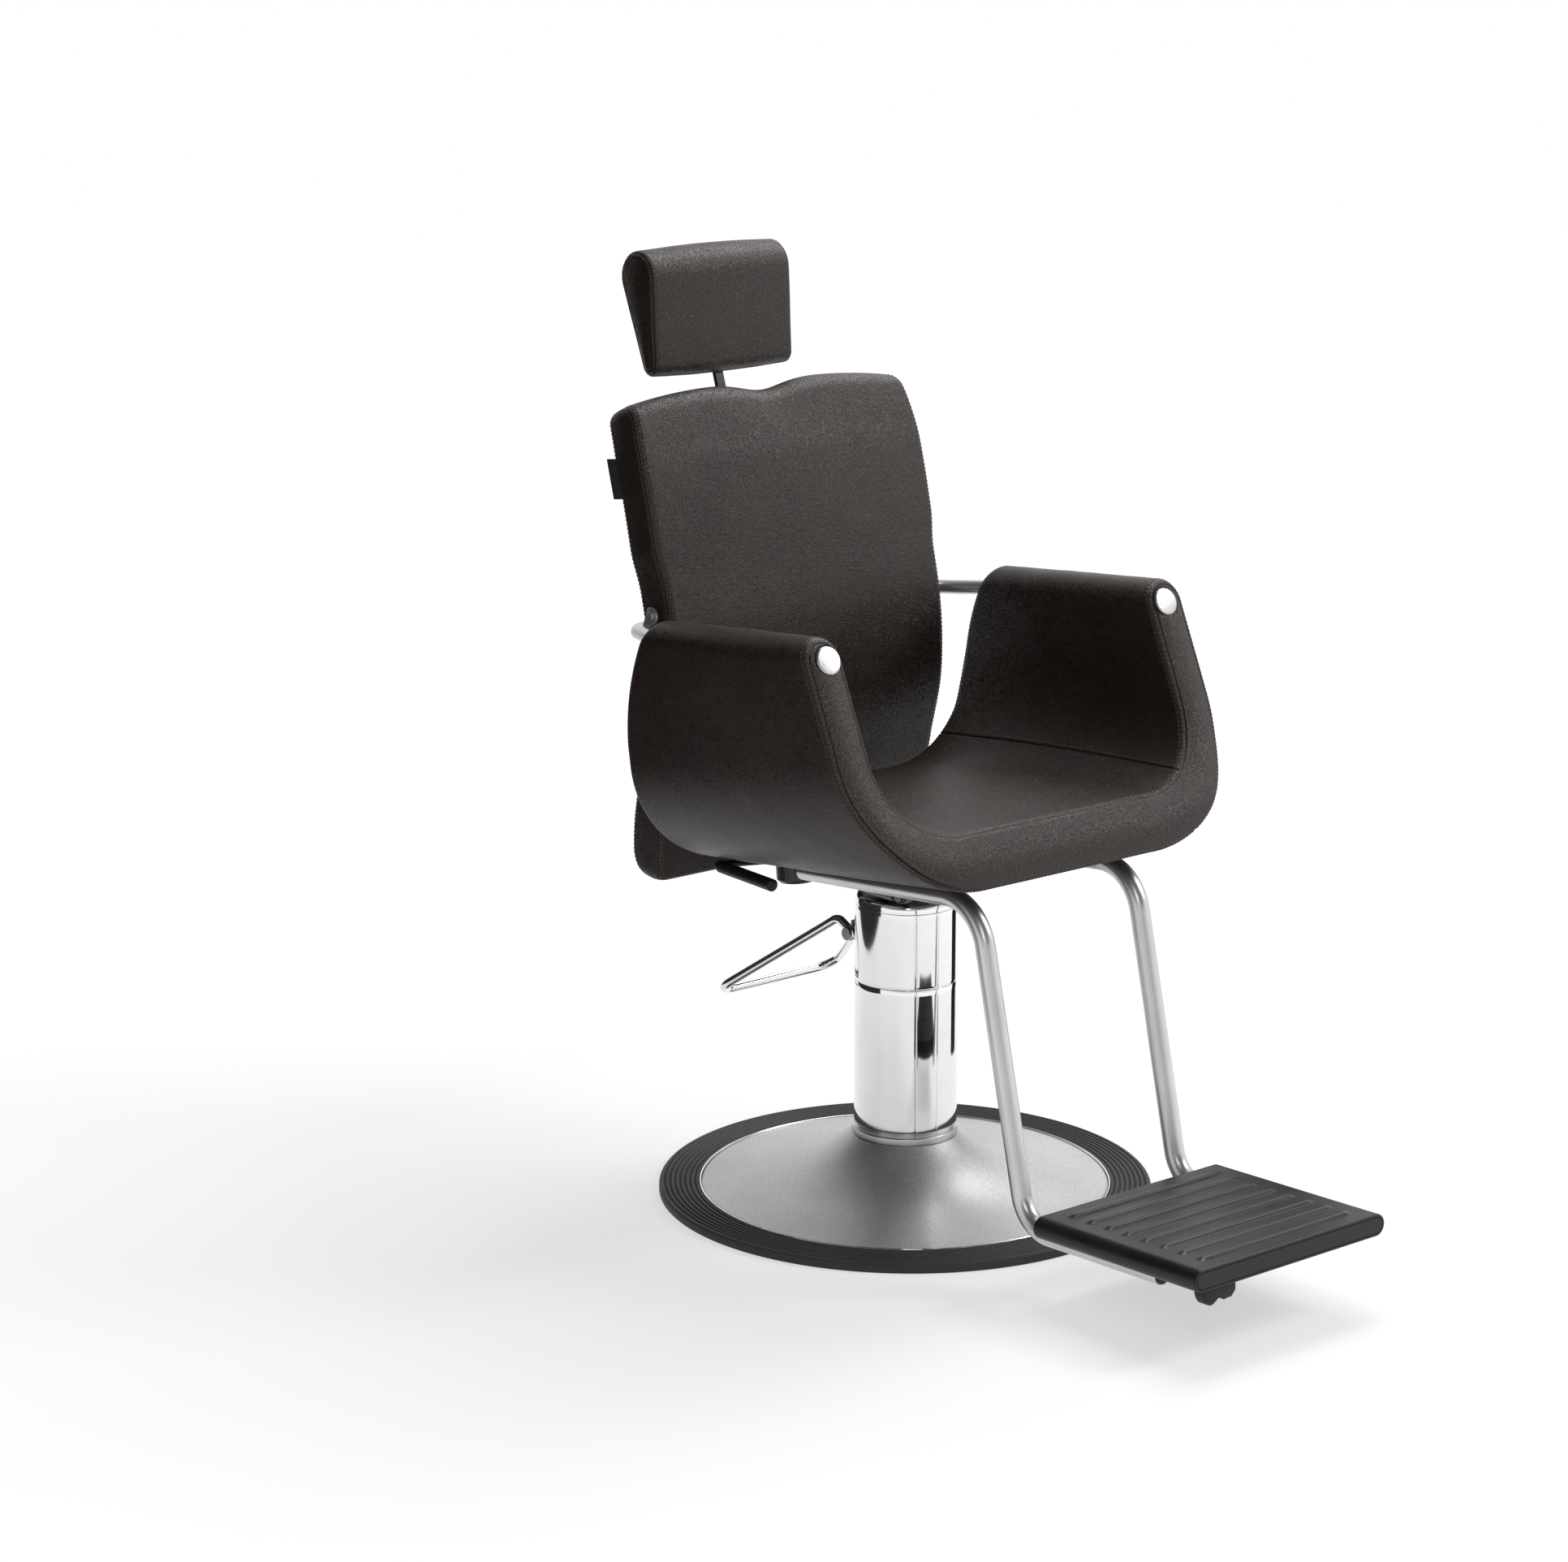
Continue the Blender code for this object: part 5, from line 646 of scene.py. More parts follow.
STRIP_HALF = STRIP_ARC / COLUMN_R / 2
CASING_START = -PI / 2 + STRIP_TURN + STRIP_HALF
CASING_SWEEP = 2 * PI - 2 * STRIP_HALF
YOKE_WINDOW = (YOKE_W / 2 + 2 * GAP, LEVER_AXIS_Z - YOKE_H / 2 - 2 * GAP,
               LEVER_AXIS_Z + YOKE_H / 2 + 2 * GAP)
for label, low, high, window in (("lower", CASING_Z, CASING_SEAM_Z, None),
                                 ("upper", CASING_SEAM_Z + GAP, CASING_TOP_Z, YOKE_WINDOW)):
    dressed(casing_sheet(f"casing_{label}_sheet", COLUMN_R, CASING_START, CASING_SWEEP, low,
                         high, window), chrome, "base", "chrome", f"casing_{label}")
    slim = GAP / COLUMN_R
    dressed(casing_sheet(f"casing_strip_{label}", COLUMN_R + 0.0004,
                         CASING_START - 2 * STRIP_HALF + slim, 2 * STRIP_HALF - 2 * slim, low,
                         high), chrome, "base", "chrome", f"strip_{label}")


def collar():
    """Rolled collar: a quarter circle of radius COLLAR_R from the casing up and in to the
    mouth, whose lip turns down, over a spigot inside the casing."""
    low = CASING_TOP_Z + GAP
    a = np.linspace(0, PI / 2, 22)
    top = low + COLLAR_SKIRT + COLLAR_R
    outer = np.stack([COLUMN_R - COLLAR_R * (1 - np.cos(a)),
                      low + COLLAR_SKIRT + COLLAR_R * np.sin(a)], 1)
    lip = np.linspace(PI / 2, PI, 6)[1:]
    mouth = np.stack([COLLAR_MOUTH_R + COLLAR_LIP + COLLAR_LIP * np.cos(lip),
                      top - COLLAR_LIP + COLLAR_LIP * np.sin(lip)], 1)
    inner = np.stack([COLUMN_R - COLLAR_R + (COLLAR_R - CASING_T) * np.cos(a),
                      low + COLLAR_SKIRT + (COLLAR_R - CASING_T) * np.sin(a)], 1)[::-3]
    spigot_r = COLUMN_R - CASING_T - GAP
    profile = np.vstack([[[COLUMN_R, low]], outer, mouth,
                         [[COLLAR_MOUTH_R + 0.0008, top - 0.0045]], inner,
                         [[spigot_r - CASING_T, low], [spigot_r - CASING_T, low - SPIGOT_L],
                          [spigot_r, low - SPIGOT_L], [spigot_r, low]]])
    return surface("casing_collar_rolled", turned(profile, 180), along=True, smooth=50)


dressed(collar(), chrome, "base", "chrome", "casing_collar")


# ---------------------------------------------------------------- foot lever
def foot_lever():
    """One bar bent into a loop: straight legs and foot bar with round corners; an eye, a
    turned ring with rounded edges, on each end."""
    eye_x = YOKE_W / 2 + 4 * GAP + LEVER_EYE_L / 2
    out, back, up = LEVER_SHOULDER
    corners = [(-eye_x, *LEVER_ROOT), (-eye_x - out, back, up),
               (-LEVER_W / 2, LEVER_REACH, -LEVER_DROP), (LEVER_W / 2, LEVER_REACH, -LEVER_DROP),
               (eye_x + out, back, up), (eye_x, *LEVER_ROOT)]
    path = rounded_line(corners, (0.012, 0.022, 0.022, 0.012), 5)
    axis = np.array([0.0, LEVER_AXIS_Y, LEVER_AXIS_Z])
    across = unit(np.array([0.0, LEVER_DROP + up, LEVER_REACH - back]))
    parts = [surface("lever_bar", bar(path + axis, LEVER_ROD_R, across, 28))]
    half, bore = LEVER_EYE_L / 2, SHAFT_R + GAP
    ring = rounded_line([(bore, -half), (LEVER_EYE_R, -half), (LEVER_EYE_R, half), (bore, half)],
                        (0.0006, 0.0018, 0.0018, 0.0006), 18, closed=True)
    for side in (-1, 1):
        x, y, z = np.moveaxis(turned(ring, 48), -1, 0)
        eye = np.stack([z + side * eye_x, x + LEVER_AXIS_Y, y + LEVER_AXIS_Z], -1)
        parts.append(surface("lever_eye", eye, along=True))
    return joined("foot_lever_loop", parts)


dressed(foot_lever(), chrome, "pump_lever", "chrome", "pump_lever")


# ---------------------------------------------------------------- footrest
def run_height(y):
    """Height of the tubes' axes under the footrest plate, in the chair's frame."""
    drop = (FOOT_PLATE_T + TUBE_R - TUBE_NEST) / np.cos(FOOT_PLATE_PITCH)
    return FOOT_PLATE_Z - drop - (y + FOOT_PLATE_Y) * np.tan(FOOT_PLATE_PITCH)


def tube_path(x):
    """Under the seat, down the shin and under the plate: three straights and two bends."""
    toe = to_seat(-TUBE_FRONT_Y, run_height(-TUBE_FRONT_Y))
    turn = PI / 2 - TUBE_SHIN_LEAN + FOOT_PLATE_PITCH
    heel_y = (-FOOT_PLATE_Y + FOOT_PLATE_L / 2 * np.cos(FOOT_PLATE_PITCH) + 5 * GAP
              + TUBE_HEEL_R * np.tan(turn / 2))
    heel = to_seat(heel_y, run_height(heel_y))
    knee_y = heel[0] + (TUBE_DROP - heel[1]) * np.tan(TUBE_SHIN_LEAN - SEAT_TILT)
    line = rounded_line([(x, TUBE_REAR_Y, TUBE_DROP), (x, knee_y, TUBE_DROP), (x, *heel),
                         (x, *toe)], (TUBE_KNEE_R, TUBE_HEEL_R), 3)
    return from_seat(line)


for side, hand in ((-1, "right"), (1, "left")):
    tube = surface(f"footrest_tube_{hand}_bent", bar(tube_path(side * TUBE_X), TUBE_R,
                                                     (1.0, 0.0, 0.0), 40))
    dressed(tube, satin_steel, "seat", "satin", f"footrest_tube_{hand}")


def foot_plate():
    """Moulded plate: its section is a flat with half-round side edges; the top is lifted by
    the ribs, each a round swell h (1 - |2t / w|^2.4) across, faded by f^2 (3 - 2f) at its ends;
    both ends draw in over a small round and have a fine parting line."""
    half_w, r = FOOT_PLATE_W / 2, FOOT_PLATE_T / 2
    top_x = np.linspace(half_w - r, -half_w + r, 140)
    arc = np.linspace(PI / 2, 3 * PI / 2, 25)[1:-1]
    x = np.concatenate([top_x, -half_w + r + r * np.cos(arc), -top_x,
                        half_w - r - r * np.cos(arc)])
    z = np.concatenate([np.zeros(140), -r + r * np.sin(arc), np.full(140, -2 * r),
                        -r - r * np.sin(arc)])
    is_top = np.arange(len(x)) < 140
    near = PLATE_DRAW * (1 - np.cos(np.linspace(0, PI / 2, 6)))
    middle = np.linspace(-FOOT_PLATE_L / 2 + 0.002, FOOT_PLATE_L / 2 - 0.002, 260)
    y = np.concatenate([-FOOT_PLATE_L / 2 + near, middle, (FOOT_PLATE_L / 2 - near)[::-1]])
    inset = np.zeros(len(y))
    inset[:6] = PLATE_DRAW * (1 - np.sin(np.linspace(0, PI / 2, 6)))
    inset[-6:] = inset[:6][::-1]
    pull = 1 - inset[:, None] / r
    grid_x = np.where(abs(x) > half_w - r, np.sign(x) * (half_w - r)
                      + (x - np.sign(x) * (half_w - r)) * pull, x)
    grid_z = -r + (z + r) * pull
    rib = (y / FOOT_RIB_PITCH + FOOT_RIBS / 2) % 1.0 - 0.5
    across = np.clip(1 - np.abs(2 * rib * FOOT_RIB_PITCH / RIB_SHOWN_W) ** 2.4, 0, 1)
    across *= np.abs(y) < FOOT_RIBS / 2 * FOOT_RIB_PITCH
    fade = np.clip((FOOT_RIB_L / 2 - np.abs(x)) / RIB_FADE, 0, 1)
    fade = fade * fade * (3 - 2 * fade)
    grid_z = grid_z + RIB_SHOWN_H * across[:, None] * (fade * is_top)[None, :]
    body = np.stack([grid_x, np.broadcast_to(y[:, None], grid_x.shape), grid_z], -1)
    mid = np.stack([np.clip(x, r - half_w, half_w - r), np.zeros(len(x)),
                    np.full(len(x), -r)], -1)
    rows = [body]
    for end, sign in ((0, -1), (-1, 1)):
        rim, core = body[end], mid + np.array([0.0, body[end, 0, 1], 0.0])
        cap = [rim + (core - rim) * f + np.array([0.0, -sign * dip, 0.0])
               for f, dip in ((0.12, 0.0), (0.16, 0.0009), (0.20, 0.0), (0.6, 0.0), (1.0, 0.0))]
        rows = [np.array(cap[::-1]), *rows] if sign < 0 else [*rows, np.array(cap)]
    return surface("footrest_plate_ribbed", from_foot_plate(np.concatenate(rows)), smooth=32)


dressed(foot_plate(), charcoal, "seat", "charcoal", "footrest_plate")


def spline(knots, count):
    """Catmull-Rom curve: 0.5 (2 p1 + (p2 - p0) f + (2 p0 - 5 p1 + 4 p2 - p3) f^2
    + (3 p1 - 3 p2 + p3 - p0) f^3)."""
    knots = np.asarray(knots, float)
    longer = np.vstack([2 * knots[0] - knots[1], knots, 2 * knots[-1] - knots[-2]])
    t = np.linspace(0, len(knots) - 1, count)
    k = np.minimum(t.astype(int), len(knots) - 2)
    p = [longer[k + j] for j in range(4)]
    f = (t - k)[:, None]
    return 0.5 * (2 * p[1] + (p[2] - p[0]) * f + (2 * p[0] - 5 * p[1] + 4 * p[2] - p[3]) * f ** 2
                  + (3 * p[1] - 3 * p[2] + p[3] - p[0]) * f ** 3)


def rounded_ends(outline, length, edge, steps=6):
    """Sections of an extrusion whose two ends draw in towards the middle over a round edge."""
    middle = outline.mean(0)
    a = np.linspace(0, PI / 2, steps)
    reach = np.abs(outline - middle).max()
    along = np.concatenate([[0.0], edge * (1 - np.cos(a)), length - edge * (1 - np.cos(a[::-1])),
                            [length]])
    scale = np.concatenate([[0.0], 1 - edge / reach * (1 - np.sin(a)),
                            1 - edge / reach * (1 - np.sin(a[::-1])), [0.0]])
    return along, middle + (outline - middle) * scale[:, None, None]


def bumper():
    """Two-lobed rubber block: its side outline carried along Y, with round end edges."""
    curve = spline(BUMPER_LOBES, 96)
    top = np.stack([np.linspace(BUMPER_LOBES[-1, 0], BUMPER_LOBES[0, 0], 26)[1:-1],
                    np.zeros(24)], 1)
    outline = np.vstack([curve, top]) * 0.995
    along, rings = rounded_ends(outline, BUMPER_L, 0.0025)
    front = -FOOT_PLATE_L / 2 + 0.004
    grid = np.stack([rings[..., 0] - BUMPER_X, np.broadcast_to((front + along)[:, None],
                                                              rings.shape[:2]),
                     -FOOT_PLATE_T - GAP - rings[..., 1]], -1)
    return surface("bumper_two_lobed", from_foot_plate(grid), smooth=50)


dressed(bumper(), black_rubber, "seat", "black_rubber", "footrest_bumper")


# ---------------------------------------------------------------- recline release
def release_ends():
    """Shaft height, and the grip's rear and front ends, in the seat frame."""
    return (PLATE_UNDER - RELEASE_DROP, np.array([GRIP_X, GRIP_REAR_Y, GRIP_REAR_Z]),
            np.array([GRIP_X - GRIP_TOE, GRIP_REAR_Y - GRIP_L, GRIP_FRONT_Z]))


def release_rod():
    """Bent rod from the housing out to the grip, with a small collar where it enters."""
    z, rear, front = release_ends()
    pull = unit(front - rear)
    corner_y = GRIP_REAR_Y + 0.010
    path = rounded_line([(RELEASE_X, FLANGE_Y - 0.008, z), (RELEASE_X, corner_y, z),
                         rear - pull * 0.010, rear + pull * 0.8 * GRIP_L], (0.010, 0.009), 6)
    parts = [surface("rod", bar(from_seat(path), RELEASE_ROD_R, (0.0, -0.09, 1.0), 24))]
    flange = [(RELEASE_X, FLANGE_Y - 0.0035, z), (RELEASE_X, FLANGE_Y - 0.0020, z),
              (RELEASE_X, FLANGE_Y - 0.0006, z)]
    parts.append(surface("flange", bar(from_seat(flange), 1.7 * RELEASE_ROD_R, (0, 0, 1), 32)))
    return joined("release_rod_bent", parts)


def release_grip():
    """Slip-on grip: a round bar with rounded edges, and two shallow rings at its mouth, each a
    valley of 6 % of the radius."""
    _, rear, front = release_ends()
    t = np.linspace(0, 1, 90)[:, None]
    grid = bar(from_seat(rear + (front - rear) * t), GRIP_R, (0.0, 0.0, 1.0), 40, edge=0.0016)
    spine = grid.mean(1, keepdims=True)
    run = np.linspace(0, GRIP_L, len(grid))
    ring = valley(run - 0.006, 0.0009) + valley(run - 0.010, 0.0009)
    grid = spine + (grid - spine) * (1 - 0.06 * ring)[:, None, None]
    return surface("release_grip_rubber", grid, smooth=50)


dressed(release_rod(), black_plastic, "release_lever", "black_plastic", "release_lever")
dressed(release_grip(), black_rubber, "release_lever", "black_rubber", "release_grip")


# ---------------------------------------------------------------- upholstered tub
def tub_front(z):
    """Front of the tub at a height in the seat frame: a raked line with a swollen nose."""
    return -(ARM_FRONT_Y + ARM_RAKE * (ARM_H - z)
             + NOSE * np.exp(-((z - SEAT_T / 2) / (0.85 * SEAT_T)) ** 2))


def tub_rear(z):
    """Rear of the tub: a curve that draws in towards the arm's top and to the underside."""
    middle = ARM_H / 2
    return np.where(z > middle, TUB_REAR_Y - 0.035 * ((z - middle) / (middle - 0.025)) ** 2,
                    TUB_REAR_Y - TUB_REAR_TUCK * (middle - z) / middle)


def tub_wall(v, inside, s):
    """Front view of the tub's wall.  u = |v| runs 0..1 along the flat, 1..2 round the corner,
    2..3 up the arm, 3..4 over half of the arm's round top; s runs from front to rear.  Gives
    the wall's point, its outward normal and the middle of the wall, each as x and z."""
    u, hand = np.abs(v), np.sign(v)
    half, t = TUB_W / 2, ARM_T
    r_out = OUTER_R_FRONT + (OUTER_R_REAR - OUTER_R_FRONT) * s
    r_in = INNER_R_FRONT + (INNER_R_REAR - INNER_R_FRONT) * s
    flat, f = np.clip(u, 0, 1), np.clip(u - 2, 0, 1)
    a, b = np.clip(u - 1, 0, 1) * PI / 2, np.clip(u - 3, 0, 1) * PI / 2
    bend = t / 2 * (1 - np.cos(b))
    x_out = flat * (half - r_out) + r_out * np.sin(a) - bend
    z_out = r_out * (1 - np.cos(a)) + (ARM_AXIS_H - r_out) * f + t / 2 * np.sin(b)
    x_in = flat * (half - t - r_in) + r_in * np.sin(a) + bend
    z_in = (SEAT_T + r_in * (1 - np.cos(a)) + (ARM_AXIS_H - SEAT_T - r_in) * f
            + t / 2 * np.sin(b))
    way = np.where(inside, -1.0, 1.0)
    point = np.stack([hand * np.where(inside, x_in, x_out), np.where(inside, z_in, z_out)], -1)
    normal = np.stack([way * hand * np.sin(a) * np.cos(b), np.sin(b) - way * np.cos(a)], -1)
    middle = np.stack([hand * (x_out + x_in) / 2, (z_out + z_in) / 2 - t / 2 * np.sin(b)], -1)
    return point, unit(normal), middle


ARM_SEAM_U = 1.42                # seam at the foot of each arm's inner panel
UNDER_SEAM_U = 1.27              # seam across the outer panel, near the underside
STITCH_DEG = (58.0, 82.0)        # stitch rows beside a border seam, round its edge
SEAM_DEG, SEAM_CLIMB_DEG = 43.0, 27.0    # the border seam, and how far it turns on the arms
PUCKER_H, PUCKER_REACH, SLACK_H = 0.00040, 0.012, 0.0005
BORDER_SWELL, CAP_PRESS, CAP_PRESS_W = 0.003, 0.0022, 0.0028


def near_columns(middle):
    """Columns close together, so that a seam's valley has its shape."""
    return middle + np.array([-0.018, -0.012, -0.008, -0.004, 0.0, 0.004, 0.008, 0.012, 0.018,
                              0.024])


def tub_columns():
    """Columns once round the wall's section: v from one arm's top to the other's along the
    inside, and back along the outside."""
    u = np.unique(np.round(np.concatenate([
        np.linspace(0, 1, 38), np.linspace(1, 2, 56), np.linspace(2, 3, 32),
        np.linspace(3, 4, 17), near_columns(ARM_SEAM_U), near_columns(UNDER_SEAM_U)]), 5))
    v = np.concatenate([-u[::-1], u[1:]])
    inside = np.concatenate([np.full(len(v), True), np.full(len(v) - 2, False)])
    return np.concatenate([v, v[::-1][1:-1]]), inside


def tub_rows():
    """Rows from the middle of the front face over the edge, back along the wall and down the
    rear face: share towards the wall's middle, edge angle, share s of the depth, and distance
    from the front."""
    face = np.array([1.0, 0.93, 0.86, 0.79, 0.72, 0.65, 0.58, 0.51, 0.44, 0.37, 0.30, 0.23,
                     0.17, 0.11, 0.06])
    edge = np.array([0, 10, 20, 28, 34, 38, 41, 43, 45, 48, 52, 58, 65, 72, 78, 82, 86, 90.0])
    after = np.array([0.002, 0.005, 0.009, 0.014, 0.020])
    middle = np.linspace(0.08, 0.92, 66)
    front = [(f, 0.0, 0.0, 0.0) for f in face] + [(0.0, e, 0.0, 0.0) for e in edge]
    front += [(0.0, 90.0, 0.0, d) for d in after]
    rear = [(f, e, 1.0, -d) for f, e, _, d in front[::-1]]
    return np.array(front + [(0.0, 90.0, s, 0.0) for s in middle] + rear).T


def tub_form():
    """Closed skin of the seat and both arms in the seat frame.  The border is rounded with
    radius R: the wall's point goes in by R - rho sin(e) and the front back by R - rho cos(e),
    with rho = R less the seam's valley; the seam nears the front face as it climbs the arms.
    The seat and the arms' insides crown as sin(pi s), with puckers along the seams and a slow
    slack in between; the front is pressed in round the caps."""
    v, inside = tub_columns()
    share, edge, s, far = (k[:, None] for k in tub_rows())
    v, inside = v[None, :], inside[None, :]
    r = TUB_EDGE_R
    row_edge = edge
    seam = SEAM_DEG - SEAM_CLIMB_DEG * np.clip(np.abs(v) - 1.15, 0, 1)
    beyond = (90 - seam) / (90 - SEAM_DEG)
    edge = np.where(edge <= SEAM_DEG, edge * seam / SEAM_DEG, seam + (edge - SEAM_DEG) * beyond)
    e = np.radians(edge)
    rho = r - SEAM_DEPTH * valley(r * np.radians(edge - seam))
    dent = sum(valley(r * np.radians(edge - seam - (k - SEAM_DEG) * beyond), 0.0009)
               for k in STITCH_DEG)
    rho = rho - STITCH_DENT * dent * (share == 0)
    sign = np.where(s == 1.0, -1.0, 1.0)
    on_edge = (s == 0) | (s == 1)
    shift = np.where(on_edge, sign * (r - rho * np.cos(e)), r * (1 - 2 * s)) + far
    run = np.clip(np.where(on_edge, np.where(s == 1, 1 + far / 0.4, far / 0.4), s), 0, 1)
    point, normal, middle = tub_wall(v, inside, run)
    u = np.abs(v)
    crown = SEAT_CROWN * np.where(u <= 1, 1.0, np.where(u <= 3, np.clip(1.75 - 0.75 * u, 0.25, 1),
                                                       0.25 * np.cos((u - 3) * PI / 2)))
    bulge = np.where(inside, crown, 0.0015 * np.sin(PI * np.clip(u / 4, 0, 1))) * np.sin(PI * run)
    away = np.abs(far) + r * np.radians(np.clip(edge - seam, 0, 90))
    side = (row_edge >= SEAM_DEG) & (share == 0)
    length = np.cumsum(np.linalg.norm(np.diff(point, axis=1, prepend=point[:, :1]), axis=-1),
                       axis=1)
    pucker = PUCKER_H * noise_wave(length, run * 0.4, 3) * np.exp(-away / PUCKER_REACH) * side
    slack = SLACK_H * noise_wave(length, run * 0.4 + 0.3 * inside, 5) * np.sin(PI * run)
    r_in = INNER_R_FRONT + (INNER_R_REAR - INNER_R_FRONT) * run
    r_out = OUTER_R_FRONT + (OUTER_R_REAR - OUTER_R_FRONT) * run
    cross = np.where(inside, valley((u - ARM_SEAM_U) * r_in * PI / 2),
                     0.7 * valley((u - UNDER_SEAM_U) * r_out * PI / 2))
    cross = SEAM_DEPTH * cross * np.clip(away / 0.004, 0, 1) * side
    out = -(r - rho * np.sin(e)) + np.where(share == 0, bulge + pucker + slack - cross, 0.0)
    flat = point + normal * out[..., None]
    flat = flat + (middle - flat) * share[..., None]
    x, z = flat[..., 0], flat[..., 1]
    beside = np.clip((np.abs(x) - BACK_HALF) / 0.025, 0, 1)
    depth = tub_rear(z) + TUB_WING * beside - tub_front(z)
    swell = BORDER_SWELL * (1 - (1 - share) ** 2) * sign
    y = tub_front(z) + depth * s + shift - swell
    off = np.hypot(np.abs(x) - (ARM_X - CAP_SET), (z - ARM_AXIS_H - CAP_RISE) / 0.945)
    t = np.clip((CAP_R + CAP_PRESS - off) / CAP_PRESS_W, 0, 1)
    y = y + np.where(s == 0, CAP_PRESS * t * t * (3 - 2 * t), 0.0)
    return np.stack([x, y, z], -1)


tub_grid = from_seat(tub_form())
tub = surface("seat_tub_leather", tub_grid, smooth=70)
dressed(tub, leather, "seat", "leather", "seat_tub")

tub_normals = outward_normals(tub_grid)
share_row, edge_row, s_row = tub_rows()[:3]
columns_v, columns_in = tub_columns()
tub_runs = []
for angle in STITCH_DEG:
    k = int(np.argmax((edge_row == angle) & (s_row == 0.0)))
    tub_runs.append((tub_grid[k], tub_normals[k], True))
k = int(np.argmax((edge_row == STITCH_DEG[0]) & (s_row == 1.0)))
tub_runs.append((tub_grid[k], tub_normals[k], True))
wall_rows = np.flatnonzero((edge_row == 90.0) & (share_row == 0.0))
for hand in (-1, 1):
    k = int(np.argmin(np.abs(columns_v - hand * (ARM_SEAM_U + 0.024)) + ~columns_in))
    tub_runs.append((tub_grid[wall_rows, k], tub_normals[wall_rows, k], False))
thread_piece("seat_tub_stitches", tub_runs, thread, "seat")


# ---------------------------------------------------------------- arm caps
def arm_cap(name, side):
    """Disc that lies on the leaning front of an arm, with a soft round edge and a shallow dome
    d (1 - (r / R)^2), d being 0.4 mm."""
    r = np.linspace(0, CAP_R - CAP_EDGE, 22)
    dome = np.stack([r, CAP_T + CAP_DOME * (1 - (r / CAP_R) ** 2)], 1)
    a = np.linspace(0, PI / 2, 7)[1:]
    rim = np.stack([CAP_R - CAP_EDGE + CAP_EDGE * np.sin(a),
                    CAP_T - CAP_EDGE + CAP_EDGE * np.cos(a)], 1)
    profile = np.vstack([dome, rim, [[CAP_R, 0.0006], [CAP_R - 0.0006, 0.0], [0.0, 0.0]]])
    x, out, up = np.moveaxis(turned(profile, 72), -1, 0)[[0, 2, 1]]
    lean = np.arctan(ARM_RAKE)
    rise = ARM_AXIS_H + CAP_RISE
    base = np.array([side * (ARM_X - CAP_SET), tub_front(rise) - 0.003
                     + (CAP_T - 0.0005) * np.cos(lean), rise - (CAP_T - 0.0005) * np.sin(lean)])
    y = up * np.sin(lean) - out * np.cos(lean)
    z = up * np.cos(lean) + out * np.sin(lean)
    return surface(name, from_seat(np.stack([x, y, z], -1) + base), smooth=35)


for side, hand in ((-1, "right"), (1, "left")):
    dressed(arm_cap(f"arm_cap_{hand}_disc", side), cap_metal, "seat", "cap", f"arm_cap_{hand}")


# ---------------------------------------------------------------- arm bow
def bow_piece():
    """Satin bar from inside one arm, round behind the back, into the other; on it two lugs,
    each an eye and a web cut from flat bar with rounded edges."""
    front = tub_front(ARM_AXIS_H) + BOW_START
    corners = [(ARM_X, front, ARM_AXIS_H), (ARM_X, BOW_KNEE_Y, ARM_AXIS_H),
               (BACK_HALF, BOW_REAR_Y, ARM_AXIS_H)]
    corners += [(-x, y, z) for x, y, z in corners[::-1]]
    path = rounded_line(corners, (0.10, BOW_BEND_R, BOW_BEND_R, 0.10), 3)
    parts = [surface("bow", bar(from_seat(path), BOW_R, (0.0, np.sin(SEAT_TILT),
                                                         np.cos(SEAT_TILT)), 40))]
    y, z = to_seat(PIVOT_Y, PIVOT_Z)
    foot = ARM_AXIS_H - BOW_R / 2
    start = np.arctan2(foot - z, LUG_REACH / 4) - 0.25
    a = np.linspace(start, start - PI * 1.32, 44)
    eye = np.stack([y + LUG_R * np.cos(a), z + LUG_R * np.sin(a)], 1)
    outline = np.vstack([eye, [[y + LUG_REACH, ARM_AXIS_H], [y + LUG_REACH, foot]]])
    centre = outline.mean(0)
    inner = outline + unit(centre - outline) * LUG_BEVEL
    bore = np.stack([np.full(len(outline), y), np.full(len(outline), z)], 1)
    bore = bore + PIVOT_SCREW_R * unit(outline - bore)
    rings = [(bore, 0.0), (inner, 0.0), (outline, LUG_BEVEL), (outline, LUG_T - LUG_BEVEL),
             (inner, LUG_T), (bore, LUG_T)]
    for side in (-1, 1):
        grid = np.stack([np.column_stack([np.full(len(ring), side * (LUG_X + t)), ring])
                         for ring, t in rings])
        parts.append(surface(f"lug_{side}", from_seat(grid), along=True, smooth=30))
    return joined("arm_bow_bar", parts)


dressed(bow_piece(), bow_steel, "seat", "chrome", "arm_bow")


# ---------------------------------------------------------------- upholstered back
def round_off(distance, radius):
    """How far a rounded end draws in: r - sqrt(r^2 - (r - d)^2)."""
    left = np.clip(radius - distance, 0, radius)
    return radius - np.sqrt(radius ** 2 - left ** 2)


BACK_SEAM_DEG, BACK_STITCH_DEG = 60.0, (45.0, 24.0)
BACK_SLACK, BACK_PUCKER, BACK_SIDE_SWELL = 0.0004, 0.0002, 0.0008


def back_columns():
    """Half section from the middle of the front face to the middle of the rear face: kind
    (0 front, 1 front edge, 2 side, 3 rear edge, 4 rear) and place within it."""
    face = np.linspace(0, 1, 46)[:-1]
    edge = np.array([0, 8, 16, 21, 24, 27, 34, 40, 43, 45, 47, 52, 55, 58, 60, 62, 65, 70, 76,
                     83.0])
    side = np.linspace(0, 1, 14)[:-1]
    kind = np.concatenate([np.zeros(45), np.full(20, 1), np.full(13, 2), np.full(21, 3),
                           np.full(46, 4)])
    back = np.concatenate([[90.0], edge[::-1]])[:21]
    place = np.concatenate([face, edge, side, back, np.linspace(1, 0, 47)[1:]])
    return kind, place


